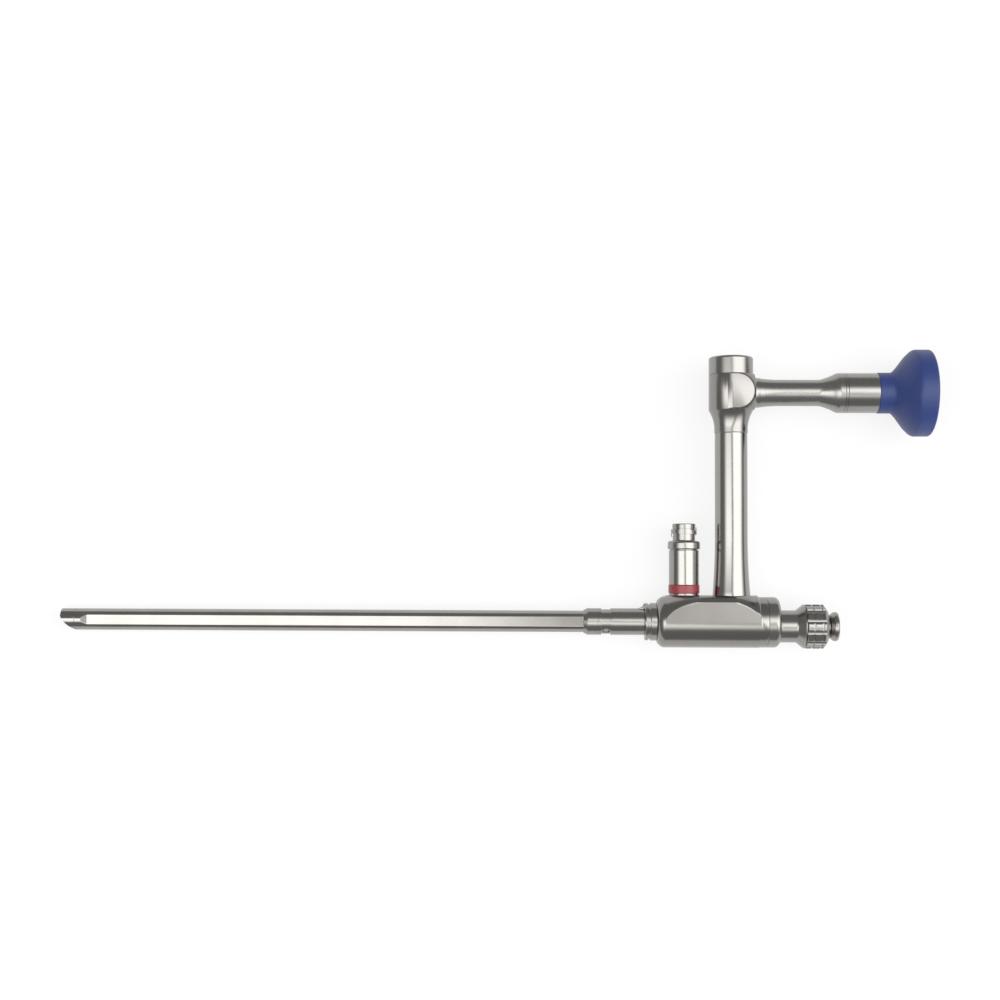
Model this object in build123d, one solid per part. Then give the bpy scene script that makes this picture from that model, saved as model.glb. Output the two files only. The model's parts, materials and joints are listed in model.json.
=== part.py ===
from build123d import *
import math
import os

# A rigid operating endoscope with an offset eyepiece, in millimetres.
# The instrument is drawn with its shaft along X, the tip at -X, and the eyepiece offset along +Y.
# The origin is where the shaft axis meets the front face of the flange, which is where a sheath stops.
# At the very end all pieces are turned together into the pose in which the instrument lies on a table.

# Clearances
fit_gap = 0.02      # all round pieces that are soldered, cemented, pressed or screwed together
run_gap = 0.05      # radial, between the locking ring and its journal
end_gap = 0.3       # beside the locking ring, so that it turns freely
lay_gap = 0.15      # between the tubes that lie side by side in the shaft

# Shaft
shaft_reach = 215.0     # tip to flange
shaft_diameter = 7.95
shaft_flats = 7.1       # across the two side flats
shaft_wall = 0.3
tip_length = 5.2
tip_spigot = 3.0        # part of the tip inside the tube
tip_spigot_cut = 1.0    # below the channel's axis, where the spigot's wall would be a foil
facet_start = 7.4       # behind the tip, where the side flats begin to slope in
facet_end = 10.0        # behind the tip, where they reach full depth
bevel_length = 5.5
bevel_top = 1.2         # height above the axis where the end face starts to lean back
bevel_bulge = 0.65
bevel_rest = 0.45       # share of the bevel's length at which it touches a table
channel_diameter = 4.1
channel_wall = 0.2
optic_wall = 0.12
window_thickness = 0.8
objective_thickness = 1.5
rod_count = 6
rod_spacer = 2.0
rod_spacer_wall = 0.2
prong_diameter = 1.3    # the two light outlets in the tip

# Coupling sleeve, which a sheath slides over
sleeve_length = 22.5
sleeve_diameter = 9.8
sleeve_nose = 1.5
sleeve_groove_start = 15.9  # in front of the flange
sleeve_groove_end = 12.5
sleeve_groove_depth = 0.4
sleeve_spigot_length = 8.0
sleeve_spigot_diameter = 8.8
shaft_seat = 19.5       # length of shaft inside the sleeve
notch_diameter = 2.6
notch_depth = 0.5
notch_angle = 50.0      # below the side
key_length = 2.6
key_height = 6.7
key_width = 3.2

# Flange
flange_disc = 1.1
flange_gap = 0.9
flange_length = 4.3
flange_disc_diameter = 13.7
flange_gap_diameter = 13.2
flange_ring_diameter = 13.86
flange_spigot_length = 5.0
flange_spigot_diameter = 11.2
flange_edge = 0.275     # broken edges of disc and ring
seal_section = 0.84
seal_place = 2.2        # centre of the seal, behind the front face of the body

# Body
body_length = 40.2
body_width = 18.8
body_top = 9.8
body_top_flat = 12.0    # width of the level strip along the top
body_top_drop = 2.45    # height lost from there to the flat sides
body_corner = 12.4      # radius about the shaft axis that the block's corners are turned to
body_nose = 2.9
body_nose_drop = 2.3    # radius lost at the very front
body_nose_arc = (0.27, 0.45)    # shares of length and drop where the nose is rounded
body_tail = 2.6         # round band at the back of the body
body_skin = 0.05        # turned envelope outside the round underside
shoulder_front = 13.3
shoulder_front_curve = ((0.21, 0.305), (0.5, 0.64))    # shares of its length and height
shoulder_rear = 10.3
shoulder_rear_curve = ((0.474, 0.627), (0.803, 0.254))
shoulder_step = 0.4     # small step behind the rear shoulder
rear_length = 4.7
rear_diameter = 18.54
rear_round = 2.4
rear_spigot_length = 3.5
rear_spigot_diameter = 13.0

# Instrument port
port_neck_length = 6.1
port_neck_diameter = 11.8
port_flare = 3.0
port_flange_diameter = 16.1
port_edge_length = 0.4
port_edge_drop = 0.2
journal_diameter = 10.0
journal_length = 8.0
journal_bore = 6.8
channel_tail = 4.8      # channel tube inside the port neck
gasket_thickness = 3.0
gasket_hole = 2.4
gasket_shoulder = 7.3   # behind the rear cap
ring_length = 8.1
ring_diameter = 16.12
ring_flutes = 12
flute_radius = 1.41
flute_depth = 0.55
flute_first = 15.0      # degrees below the side
ring_groove_width = 0.55
ring_groove_depth = 0.45
ring_groove_a = 2.5     # from the front of the ring
ring_groove_b = 5.6
ring_chamfer = 1.5
ring_edge = 0.3
ring_face_step = 0.6    # radius lost between the chamfer and the back face
ring_turn = 60.0
pin_diameter = 1.6
pin_reach = 0.9         # pin tip below the journal surface
pin_place = 2.0         # from the front of the ring
funnel_stem_diameter = 8.1
funnel_stem_length = 1.0
funnel_mouth_diameter = 10.8
funnel_flare = 2.0
funnel_rim = 1.3
funnel_cup = 2.6
funnel_lip = 0.7

# Light post
post_x = 14.5
post_base_diameter = 10.92
post_base_height = 1.6
post_core_diameter = 9.2
post_core_height = 9.5
post_spigot_diameter = 8.0
post_spigot_length = 3.9
colour_ring_height = 3.05
colour_ring_diameter = 11.4
post_barrel_height = 12.75
post_barrel_diameter = 11.02
nipple_spigot_diameter = 6.8
nipple_spigot_length = 5.7
nipple_gap = 0.3
nipple_gap_diameter = 10.0
collar_height = 3.1
collar_diameter = 11.9
collar_round = 0.9
nipple_neck_height = 2.0
nipple_neck_diameter = 8.26
thread_diameter = 9.5
thread_pitch = 1.3
thread_ridges = 2
thread_shape = (0.35, 0.6, 0.95)    # shares of the pitch: crest start, crest end, foot
nipple_top_height = 1.75
nipple_top_diameter = 8.48
ferrule_wall = 0.28
light_diameter = 4.2
light_face = 0.8
spot_depth = 0.9        # depth of the post's seat in the top of the body

# Riser tube and the relay optics in it
riser_from_back = 12.6  # axis in front of the back of the body
riser_diameter = 12.0
riser_foot_diameter = 13.82
riser_flare = 22.0
riser_length = 60.95    # foot to housing joint
riser_bore = 10.0
riser_seat_depth = 1.25
riser_spigot_diameter = 9.0
riser_spigot_length = 3.35
riser_web = 3.5         # solid floor of the riser round the relay cell
cell_diameter = 6.7
cell_wall = 0.9
relay_count = 3
relay_spacer = 4.5
relay_spacer_wall = 0.35
mount_diameter = 4.8    # carrier of the lower prism
mount_lip = 0.2         # radial, what keeps the lower prism in its carrier

# Upper housing with the knee prism
housing_diameter = 16.34
housing_neck_diameter = 12.3
housing_neck_length = 1.5
housing_taper = 6.9
housing_block = 13.1
housing_spigot_length = 6.0
housing_trim_centre = 1.27
housing_trim_radius = 10.27
housing_floor = 2.6     # thickness between the taper and the cavity
cavity_diameter = 10.4
cap_height = 6.65
cap_round = 1.3
cap_spigot_length = 2.0
cap_seal_thickness = 0.4
knee_prism = 5.6
light_bore = 5.0        # free aperture between the relay cell and the knee prism

# Eyepiece
ocular_rise = 15.0      # eyepiece axis above the joint of the riser
ocular_spigot_diameter = 9.0
ocular_root_diameter = 12.1
ocular_waist_diameter = 9.7
ocular_tube_length = 31.1   # housing to the full width of the barrel
ocular_root_length = 11.0
ocular_flare_length = 7.6
root_bend = 2.3         # length of the quick bend behind the housing
flare_bend = 0.58       # share of the flare's length where it is half way up
curve_hollow = 0.05
barrel_diameter = 14.74
barrel_front = 1.8
joint_ring_width = 1.0
barrel_length = 11.5
barrel_joint_wall = 0.82
barrel_joint_length = 4.0
ocular_bore = 7.2
barrel_bore = 12.0
field_stop_thickness = 0.8
field_stop_hole = 4.4
lens_edge = 1.2
lens_centre = 2.4
ocular_gap = 2.7
ring_wall = 0.8
barrel_spigot_diameter = 13.4
barrel_spigot_length = 4.8
eye_window_thickness = 1.5

# Eyecup
eyecup_diameter = 32.0
eyecup_neck_diameter = 15.04
eyecup_depth = 19.3
eyecup_rim = 4.1
eyecup_rim_round = 1.5
eyecup_hole = 9.2
eyecup_shoulder = 2.7
eyecup_lip = 2.4
eyecup_slope = ((0.245, 0.33), (0.58, 0.76))    # shares of its length and height
eyecup_seat_edge = 0.8  # flat ring round the hole

# Places worked out from the sizes above
shaft_r = shaft_diameter / 2
bore_r = shaft_r - shaft_wall
flat_z = shaft_flats / 2
bore_z = flat_z - shaft_wall
channel_r = channel_diameter / 2
channel_bore_r = channel_r - channel_wall
channel_y = -(bore_r - channel_r - lay_gap)
optic_r = (2 * bore_r - channel_diameter - 3 * lay_gap) / 2
optic_bore_r = optic_r - optic_wall
optic_y = bore_r - optic_r - lay_gap
lens_r = optic_bore_r - fit_gap
tip_x = -shaft_reach
tube_front = tip_x + tip_length
tube_back = shaft_seat - sleeve_length
sleeve_r = sleeve_diameter / 2
body_front = flange_length
body_back = body_front + body_length
body_r = body_width / 2
riser_x = body_back - riser_from_back
body_bore_end = body_front + flange_spigot_length
rear_back = body_back + rear_length
port_back = rear_back + port_neck_length + port_flare
ring_front = port_back + end_gap
ring_back = ring_front + ring_length
journal_end = port_back + journal_length
gasket_front = rear_back + gasket_shoulder
light_r = light_diameter / 2
mount_r = mount_diameter / 2
prism_side = 2 * lens_r
mount_floor = optic_y - lens_r
post_foot = body_top - spot_depth
post_top_of_base = post_foot + post_base_height
ring_seat_top = post_top_of_base + colour_ring_height
nipple_foot = ring_seat_top + post_barrel_height
nipple_top = (nipple_foot + nipple_gap + collar_height + nipple_neck_height
              + thread_ridges * thread_pitch + nipple_top_height)
riser_foot = body_top - riser_seat_depth
riser_low = riser_foot - riser_spigot_length
riser_top = riser_foot + riser_length
ocular_y = riser_top + ocular_rise
housing_r = housing_diameter / 2
block_low = riser_top + housing_neck_length + housing_taper
block_top = block_low + housing_block
cavity_low = block_low + housing_floor
cell_top = block_low
ocular_front = riser_x + housing_r
barrel_start = ocular_front + ocular_tube_length + barrel_front
barrel_joint_diameter = barrel_diameter - 2 * barrel_joint_wall
barrel_back = barrel_start + joint_ring_width + barrel_length
eyecup_front = barrel_back + eyecup_depth
rest_plane_front = tip_x + bevel_rest * bevel_length


def rod_x(diameter, start, end, y=0.0, z=0.0):
    """Round bar along X."""
    return Pos((start + end) / 2, y, z) * Rot(0, 90, 0) * Cylinder(diameter / 2, end - start)


def rod_y(diameter, start, end, x=0.0):
    """Round bar along Y."""
    return Pos(x, (start + end) / 2, 0) * Rot(90, 0, 0) * Cylinder(diameter / 2, end - start)


def slab(x0, x1, y0, y1, z0, z1):
    """Rectangular block between two corners."""
    return Pos((x0 + x1) / 2, (y0 + y1) / 2, (z0 + z1) / 2) * Box(x1 - x0, y1 - y0, z1 - z0)


def tube_x(outer, inner, start, end, y=0.0):
    """Round tube along X."""
    return rod_x(outer, start, end, y) - rod_x(inner, start, end, y)


def tube_y(outer, inner, start, end, x=0.0):
    """Round tube along Y."""
    return rod_y(outer, start, end, x) - rod_y(inner, start, end, x)


def turned_x(outline, y=0.0):
    """Turned piece about X, from an outline of (x, radius) edges."""
    return Pos(0, y, 0) * revolve(make_face(outline), Axis.X)


def turned_y(outline, x=0.0):
    """Turned piece about Y, from an outline of (radius, y) edges."""
    return Pos(x, 0, 0) * revolve(make_face(outline), Axis.Y)


def shaft_section(radius, half_flat, start, end):
    """Bar along X, round with two side flats."""
    flat = slab(start, end, -radius, radius, -half_flat, half_flat)
    return rod_x(2 * radius, start, end) & flat


def bevel_waste():
    """What the slanted, slightly bulging end face of the tip takes away."""
    low = (tip_x + bevel_length, -shaft_r)
    high = (tip_x, bevel_top)
    middle_x = (low[0] + high[0]) / 2
    middle_y = (low[1] + high[1]) / 2
    chord = math.dist(low, high)
    bulge_x = middle_x - bevel_bulge * (high[1] - low[1]) / chord
    bulge_y = middle_y - bevel_bulge * (low[0] - high[0]) / chord
    face_arc = ThreePointArc(high, (bulge_x, bulge_y), low)
    outside = Polyline(
        low,
        (low[0], -shaft_diameter),
        (tip_x - bevel_length, -shaft_diameter),
        (tip_x - bevel_length, shaft_diameter),
        (tip_x, shaft_diameter),
        high,
    )
    return extrude(make_face(face_arc + outside), shaft_diameter, both=True)


def facet_waste(side):
    """What the sloping facet and the long flat take off one side of the shaft."""
    outline = Polyline(
        (tip_x + facet_start, shaft_r),
        (tip_x + facet_end, flat_z),
        (sleeve_length, flat_z),
        (sleeve_length, shaft_diameter),
        (tip_x + facet_start, shaft_diameter),
        close=True,
    )
    waste = extrude(Plane.XZ * make_face(outline), shaft_diameter, both=True)
    return waste if side > 0 else mirror(waste, Plane.XY)


def channel_hole(start, end):
    """Clearance hole for the working channel tube."""
    return rod_x(channel_diameter + 2 * fit_gap, start, end, channel_y)


def optic_hole(start, end):
    """Clearance hole for the optic tube."""
    return rod_x(2 * (optic_r + fit_gap), start, end, optic_y)


def prong(side, diameter, start, end):
    """One of the two light outlets beside the window."""
    place_y = (optic_y + channel_y) / 2 + channel_r / 2
    place_z = bore_z - fit_gap - prong_diameter / 2 - lay_gap
    return rod_x(diameter, start, end, place_y, side * place_z)


def distal_tip():
    """Nose with the end face, bored for window, channel and light outlets, and its spigot."""
    back = tube_front + tip_spigot
    nose = rod_x(shaft_diameter, tip_x, tube_front) - bevel_waste()
    nose += shaft_section(bore_r - fit_gap, bore_z - fit_gap, tube_front, back)
    nose -= slab(tube_front, back, -shaft_r, channel_y - tip_spigot_cut, -shaft_r, shaft_r)
    nose -= channel_hole(tip_x, back)
    nose -= optic_hole(tip_x, back)
    for side in (1, -1):
        nose -= prong(side, prong_diameter, tip_x, back)
    return nose


def shaft_tube():
    """Outer tube, round at the tip and flattened on both sides behind it."""
    tube = rod_x(shaft_diameter, tube_front, tube_back)
    tube -= facet_waste(1)
    tube -= facet_waste(-1)
    return tube - shaft_section(bore_r, bore_z, tube_front, tube_back)


def working_channel_tube():
    """Thin tube that instruments pass through, from the end face to the port."""
    return tube_x(channel_diameter, 2 * channel_bore_r, tip_x, rear_back + channel_tail,
                  channel_y) - bevel_waste()


def optic_tube():
    """Thin tube that holds the rod lenses in line."""
    front = tip_x + window_thickness
    return tube_x(2 * optic_r, 2 * optic_bore_r, front, riser_x - mount_r, optic_y)


def distal_window():
    """Glass that closes the optic at the tip."""
    return rod_x(2 * optic_r, tip_x, tip_x + window_thickness, optic_y)


def objective_lens():
    """First lens, behind the window."""
    front = tip_x + window_thickness
    return rod_x(2 * lens_r, front, front + objective_thickness, optic_y)


def rod_train():
    """Rod lenses and the spacer tubes in front of them."""
    start = tip_x + window_thickness + objective_thickness
    end = riser_x - mount_r
    rod_length = (end - start) / rod_count - rod_spacer
    rods = []
    spacers = []
    for number in range(rod_count):
        place = start + number * (rod_length + rod_spacer)
        spacers.append(tube_x(2 * lens_r, 2 * (lens_r - rod_spacer_wall), place,
                              place + rod_spacer, optic_y))
        rods.append(rod_x(2 * lens_r, place + rod_spacer, place + rod_spacer + rod_length, optic_y))
    return rods, spacers


def fibre_bundle():
    """Light fibres: they fill the shaft round the tubes, and turn up through the body into the post."""
    front = tube_front + tip_spigot
    back = post_x + light_r
    bundle = shaft_section(bore_r - fit_gap, bore_z - fit_gap, front, back)
    for side in (1, -1):
        bundle += prong(side, prong_diameter - 2 * fit_gap, tip_x, front) - bevel_waste()
    bundle += rod_y(light_diameter, optic_y, nipple_top - light_face, post_x)
    bundle -= channel_hole(front, back)
    return bundle - optic_hole(front, back)


def coupling_sleeve():
    """Turned sleeve soldered to the shaft, with the bayonet notches and the key at its back."""
    nose = Polyline(
        (-sleeve_length, 0),
        (-sleeve_length, sleeve_r - sleeve_nose / 2),
        (-sleeve_length + sleeve_nose, sleeve_r),
        (-sleeve_groove_start, sleeve_r),
        (-sleeve_groove_start, sleeve_r - sleeve_groove_depth),
        (-sleeve_groove_end, sleeve_r - sleeve_groove_depth),
        (-sleeve_groove_end, sleeve_r),
        (0, sleeve_r),
        (0, sleeve_spigot_diameter / 2),
        (sleeve_spigot_length, sleeve_spigot_diameter / 2),
        (sleeve_spigot_length, 0),
        close=True,
    )
    sleeve = turned_x(nose)
    ramp = Polyline(
        (-key_length, sleeve_r - fit_gap),
        (0, key_height),
        (0, bore_r + shaft_wall),
        (-key_length, bore_r + shaft_wall),
        close=True,
    )
    sleeve += extrude(make_face(ramp), key_width / 2, both=True)
    notch_x = -(sleeve_groove_start + sleeve_groove_end) / 2
    for side in (1, -1):
        cutter = rod_y(notch_diameter, 0, notch_depth + sleeve_r, notch_x)
        cutter = Rot(side * (90 + notch_angle), 0, 0) * cutter
        sleeve -= cutter - rod_x(2 * (sleeve_r - sleeve_groove_depth - notch_depth),
                                 -sleeve_length, 0)
    sleeve -= shaft_section(shaft_r + fit_gap, flat_z + fit_gap, -sleeve_length, tube_back)
    return sleeve - shaft_section(bore_r, bore_z, tube_back, sleeve_spigot_length)


def front_flange():
    """Flange that a sheath stops against, with a spigot and a seal groove inside the body."""
    disc_r = flange_disc_diameter / 2
    gap_r = flange_gap_diameter / 2
    ring_r = flange_ring_diameter / 2
    edge = flange_edge
    outline = Polyline(
        (0, 0),
        (0, disc_r - edge),
        (edge, disc_r),
        (flange_disc - edge, disc_r),
        (flange_disc, disc_r - edge),
        (flange_disc, gap_r - edge),
        (flange_disc + flange_gap, gap_r - edge),
        (flange_disc + flange_gap, ring_r - edge),
        (flange_disc + flange_gap + edge, ring_r),
        (flange_length, ring_r),
        (flange_length, flange_spigot_diameter / 2),
        (flange_length + flange_spigot_length, flange_spigot_diameter / 2),
        (flange_length + flange_spigot_length, 0),
        close=True,
    )
    flange = turned_x(outline)
    seal_x = body_front + seal_place
    groove = seal_section / 2 + fit_gap
    flange -= tube_x(flange_spigot_diameter + seal_section, flange_spigot_diameter - 2 * seal_section,
                     seal_x - groove, seal_x + groove)
    bore = sleeve_spigot_diameter + 2 * fit_gap
    flange -= rod_x(bore, 0, sleeve_spigot_length)
    return flange - shaft_section(bore_r, bore_z, sleeve_spigot_length, body_bore_end)


def flange_seal():
    """Rubber ring between flange spigot and body."""
    ring_r = flange_spigot_diameter / 2 - seal_section / 2
    ring = Torus(ring_r, seal_section / 2 - fit_gap)
    return Pos(body_front + seal_place, 0, 0) * Rot(0, 90, 0) * ring


def between(start, end, shares):
    """Points between two corners, each at its own share of the way in both directions."""
    return [(start[0] + along * (end[0] - start[0]), start[1] + up * (end[1] - start[1]))
            for along, up in shares]


def body_trim():
    """Turned envelope of the body: rounded ends, and swept shoulders that cut the block's corners."""
    low_r = body_r + body_skin
    nose_start = (body_front, body_r - body_nose_drop)
    nose_end = (body_front + body_nose, low_r)
    nose_middle = (body_front + body_nose_arc[0] * body_nose, body_r - body_nose_arc[1] * body_nose_drop)
    front_top = (nose_end[0] + shoulder_front, body_corner)
    end = body_back - body_tail
    step = (end - shoulder_step, low_r)
    rear_top = (step[0] - shoulder_rear, body_corner)
    nose = ThreePointArc(nose_start, nose_middle, nose_end)
    front_shoulder = Spline(
        nose_end,
        *between(nose_end, front_top, shoulder_front_curve),
        front_top,
        tangents=((1, 0.3), (1, 0.15)),
    )
    rear_curve = [(x, low_r + share * (body_corner - low_r)) for (x, _), (_, share)
                  in zip(between(rear_top, step, shoulder_rear_curve), shoulder_rear_curve)]
    rear_shoulder = Spline(rear_top, *rear_curve, step, tangents=((1, -0.2), (0.5, -1)))
    rest = Polyline(
        step,
        (end, rear_diameter / 2),
        (body_back, rear_diameter / 2),
        (body_back, 0),
        (body_front, 0),
        nose_start,
    )
    return turned_x(nose + front_shoulder + Line(front_top, rear_top) + rear_shoulder + rest)


def body_section():
    """Section of the body: round below, flat on both sides and on top, with rounded shoulders."""
    flat = body_top_flat / 2
    reach = body_r - flat
    shoulder_r = (reach**2 + body_top_drop**2) / (2 * body_top_drop)
    turn = math.atan2(reach, shoulder_r - body_top_drop) / 2
    middle_y = body_top - shoulder_r * (1 - math.cos(turn))
    middle_z = flat + shoulder_r * math.sin(turn)
    corner_y = body_top - body_top_drop
    shoulders = [ThreePointArc((corner_y, side * body_r), (middle_y, side * middle_z),
                               (body_top, side * flat)) for side in (1, -1)]
    top = Line((body_top, flat), (body_top, -flat))
    rest = Polyline((corner_y, body_r), (0, body_r), (0, -body_r), (corner_y, -body_r))
    return Circle(body_r) + make_face(shoulders[0] + top + shoulders[1] + rest)


def main_body():
    """Machined body, bored for everything in it."""
    block = Pos(body_front, 0, 0) * extrude(Plane.YZ * body_section(), body_length)
    block &= body_trim()
    block -= rod_x(flange_spigot_diameter + 2 * fit_gap, body_front, body_bore_end)
    block -= rod_x(2 * bore_r, body_bore_end, post_x + light_r)
    block -= channel_hole(body_front, body_back)
    block -= optic_hole(body_front, riser_x)
    block -= rod_x(rear_spigot_diameter + 2 * fit_gap, body_back - rear_spigot_length, body_back)
    block -= rod_y(light_diameter + 2 * fit_gap, optic_y, body_top, post_x)
    block -= rod_y(post_spigot_diameter + 2 * fit_gap, post_foot - post_spigot_length, body_top, post_x)
    block -= rod_y(post_base_diameter + 2 * fit_gap, post_foot, body_top, post_x)
    block -= rod_y(mount_diameter + 2 * fit_gap, mount_floor, body_top, riser_x)
    block -= rod_y(riser_spigot_diameter + 2 * fit_gap, riser_low, body_top, riser_x)
    return block - rod_y(riser_foot_diameter + 2 * fit_gap, riser_foot, body_top, riser_x)


def rear_cap():
    """Rounded end cap of the body, with a spigot in its rear bore."""
    cap_r = rear_diameter / 2
    back = Line((body_back, 0), (body_back, cap_r)) + Line((body_back, cap_r),
                                                          (rear_back - rear_round, cap_r))
    corner = ThreePointArc(
        (rear_back - rear_round, cap_r),
        (rear_back - rear_round * (1 - math.sin(math.pi / 4)),
         cap_r - rear_round * (1 - math.cos(math.pi / 4))),
        (rear_back, cap_r - rear_round),
    )
    close = Polyline((rear_back, cap_r - rear_round), (rear_back, 0), (body_back, 0))
    cap = turned_x(back + corner + close)
    cap += rod_x(rear_spigot_diameter, body_back - rear_spigot_length, body_back)
    return cap - channel_hole(body_back - rear_spigot_length, rear_back)


def body_prism_mount():
    """Carrier that holds the lower prism at the foot of the riser."""
    carrier = rod_y(mount_diameter, mount_floor, riser_low, riser_x)
    half = prism_side / 2 + fit_gap
    carrier -= slab(riser_x - half, riser_x + half, mount_floor, optic_y + half, -half, half)
    aperture = prism_side - 2 * mount_lip
    carrier -= rod_x(aperture, riser_x - mount_r, riser_x, optic_y)
    return carrier - rod_y(aperture, optic_y, riser_low, riser_x)


def right_angle_prism(side, x, y, turn):
    """Glass prism with square legs, turned about Z."""
    half = side / 2
    outline = Polyline((-half, half), (half, half), (-half, -half), close=True)
    return Pos(x, y, 0) * Rot(0, 0, turn) * extrude(make_face(outline), half, both=True)


def body_prism():
    """Lower prism, which turns the picture from the shaft up into the riser."""
    return right_angle_prism(prism_side, riser_x, optic_y, 0)


def riser_tube():
    """Tube between body and upper housing, flared at its foot, with a spigot in the body."""
    foot_r = riser_foot_diameter / 2
    tube_r = riser_diameter / 2
    flare_low = riser_foot + riser_seat_depth
    flare = TangentArc((tube_r, flare_low + riser_flare), (foot_r, flare_low), tangent=(0, -1))
    rest = Polyline(
        (foot_r, flare_low),
        (foot_r, riser_foot),
        (0, riser_foot),
        (0, riser_top),
        (tube_r, riser_top),
        (tube_r, flare_low + riser_flare),
    )
    tube = turned_y(flare + rest, riser_x)
    tube += rod_y(riser_spigot_diameter, riser_low, riser_foot, riser_x)
    tube -= rod_y(riser_bore, riser_foot + riser_web, riser_top, riser_x)
    return tube - rod_y(cell_diameter + 2 * fit_gap, riser_low, riser_foot + riser_web, riser_x)


def relay_cell():
    """Inner tube that holds the relay lenses."""
    return tube_y(cell_diameter, cell_diameter - 2 * cell_wall, riser_low, cell_top, riser_x)


def relay_train():
    """Relay lenses in the riser and the spacers between them."""
    glass = cell_diameter - 2 * cell_wall - 2 * fit_gap
    length = (cell_top - riser_low - (relay_count + 1) * relay_spacer) / relay_count
    lenses = []
    spacers = []
    for number in range(relay_count + 1):
        place = riser_low + number * (length + relay_spacer)
        spacers.append(tube_y(glass, glass - 2 * relay_spacer_wall, place, place + relay_spacer,
                              riser_x))
        if number < relay_count:
            lenses.append(rod_y(glass, place + relay_spacer, place + relay_spacer + length, riser_x))
    return lenses, spacers


def prism_housing():
    """Knee of the optic: half round on the left, flat front and back, with a tapered neck below."""
    neck_r = housing_neck_diameter / 2
    taper = TangentArc((neck_r, riser_top + housing_neck_length), (housing_r, block_low),
                       tangent=(0, 1))
    rest = Polyline(
        (housing_r, block_low),
        (0, block_low),
        (0, riser_top),
        (neck_r, riser_top),
        (neck_r, riser_top + housing_neck_length),
    )
    neck = turned_y(taper + rest, riser_x)
    block = rod_y(housing_diameter, block_low, block_top, riser_x)
    block += slab(riser_x, riser_x + housing_r, block_low, block_top, -housing_r, housing_r)
    centre_x = riser_x + housing_trim_centre
    reach = housing_trim_radius
    trim_left = Polyline(
        (centre_x + reach, 0),
        (riser_x - housing_diameter, 0),
        (riser_x - housing_diameter, reach),
        (centre_x, reach),
    )
    trim_arc = ThreePointArc(
        (centre_x, reach),
        (centre_x + reach * math.sin(math.pi / 4), reach * math.cos(math.pi / 4)),
        (centre_x + reach, 0),
    )
    housing = (block & turned_x(trim_left + trim_arc, ocular_y)) + neck
    spigot_low = riser_top - housing_spigot_length
    housing += rod_y(riser_bore - 2 * fit_gap, spigot_low, riser_top, riser_x)
    housing -= rod_y(cell_diameter + 2 * fit_gap, spigot_low, cell_top, riser_x)
    housing -= rod_y(light_bore, cell_top, cavity_low, riser_x)
    housing -= rod_y(cavity_diameter, cavity_low, block_top, riser_x)
    return housing - rod_x(ocular_spigot_diameter + 2 * fit_gap, riser_x, ocular_front, ocular_y)


def prism_cradle():
    """Carrier of the knee prism in the housing's cavity."""
    half = knee_prism / 2 + fit_gap
    top = block_top - cap_spigot_length - cap_seal_thickness
    cradle = rod_y(cavity_diameter - 2 * fit_gap, cavity_low, top, riser_x)
    cradle -= slab(riser_x - half, riser_x + cavity_diameter, ocular_y - half, ocular_y + half,
                   -half, half)
    return cradle - rod_y(light_bore, cavity_low, ocular_y, riser_x)


def knee_prism_glass():
    """Upper prism, which turns the picture from the riser into the eyepiece."""
    return right_angle_prism(knee_prism, riser_x, ocular_y, 180)


def housing_cap():
    """Round cap that closes the housing, with its top edge rounded."""
    top = block_top + cap_height
    side = Polyline((0, block_top), (housing_r, block_top), (housing_r, top - cap_round))
    corner = ThreePointArc(
        (housing_r, top - cap_round),
        (housing_r - cap_round * (1 - math.cos(math.pi / 4)),
         top - cap_round * (1 - math.sin(math.pi / 4))),
        (housing_r - cap_round, top),
    )
    close = Polyline((housing_r - cap_round, top), (0, top), (0, block_top))
    cap = turned_y(side + corner + close, riser_x)
    return cap + rod_y(cavity_diameter - 2 * fit_gap, block_top - cap_spigot_length, block_top, riser_x)


def cap_seal():
    """Flat gasket under the cap's spigot."""
    top = block_top - cap_spigot_length
    return tube_y(cavity_diameter - 2 * fit_gap, knee_prism, top - cap_seal_thickness, top, riser_x)


def eyepiece_tube():
    """Waisted tube between housing and barrel, with a spigot at each end."""
    root_r = ocular_root_diameter / 2
    waist_r = ocular_waist_diameter / 2
    barrel_r = barrel_diameter / 2
    wide = ocular_front + ocular_tube_length
    root_end = ocular_front + ocular_root_length
    flare_start = wide - ocular_flare_length
    inner = cavity_diameter / 2 + fit_gap
    root_middle = (ocular_front + root_bend, (root_r + waist_r) / 2 - curve_hollow)
    flare_middle = (flare_start + flare_bend * ocular_flare_length,
                    (waist_r + barrel_r) / 2 - curve_hollow)
    root = Spline((ocular_front, root_r), root_middle, (root_end, waist_r), tangents=((0.7, -1), (1, 0)))
    flare = Spline((flare_start, waist_r), flare_middle, (wide, barrel_r), tangents=((1, 0), (1, 0.12)))
    waist = Line((root_end, waist_r), (flare_start, waist_r))
    rest = Polyline(
        (wide, barrel_r),
        (barrel_start, barrel_r),
        (barrel_start, barrel_joint_diameter / 2),
        (barrel_start + joint_ring_width + barrel_joint_length, barrel_joint_diameter / 2),
        (barrel_start + joint_ring_width + barrel_joint_length, 0),
        (ocular_front, 0),
        (ocular_front, root_r),
    )
    tube = turned_x(root + waist + flare + rest, ocular_y)
    tube += rod_x(ocular_spigot_diameter, riser_x + inner, ocular_front, ocular_y)
    return tube - rod_x(ocular_bore, riser_x, barrel_start + joint_ring_width + barrel_joint_length,
                        ocular_y)


def joint_ring():
    """Thin ring between the waisted tube and the barrel."""
    return tube_x(barrel_diameter, barrel_joint_diameter + 2 * fit_gap, barrel_start,
                  barrel_start + joint_ring_width, ocular_y)


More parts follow.
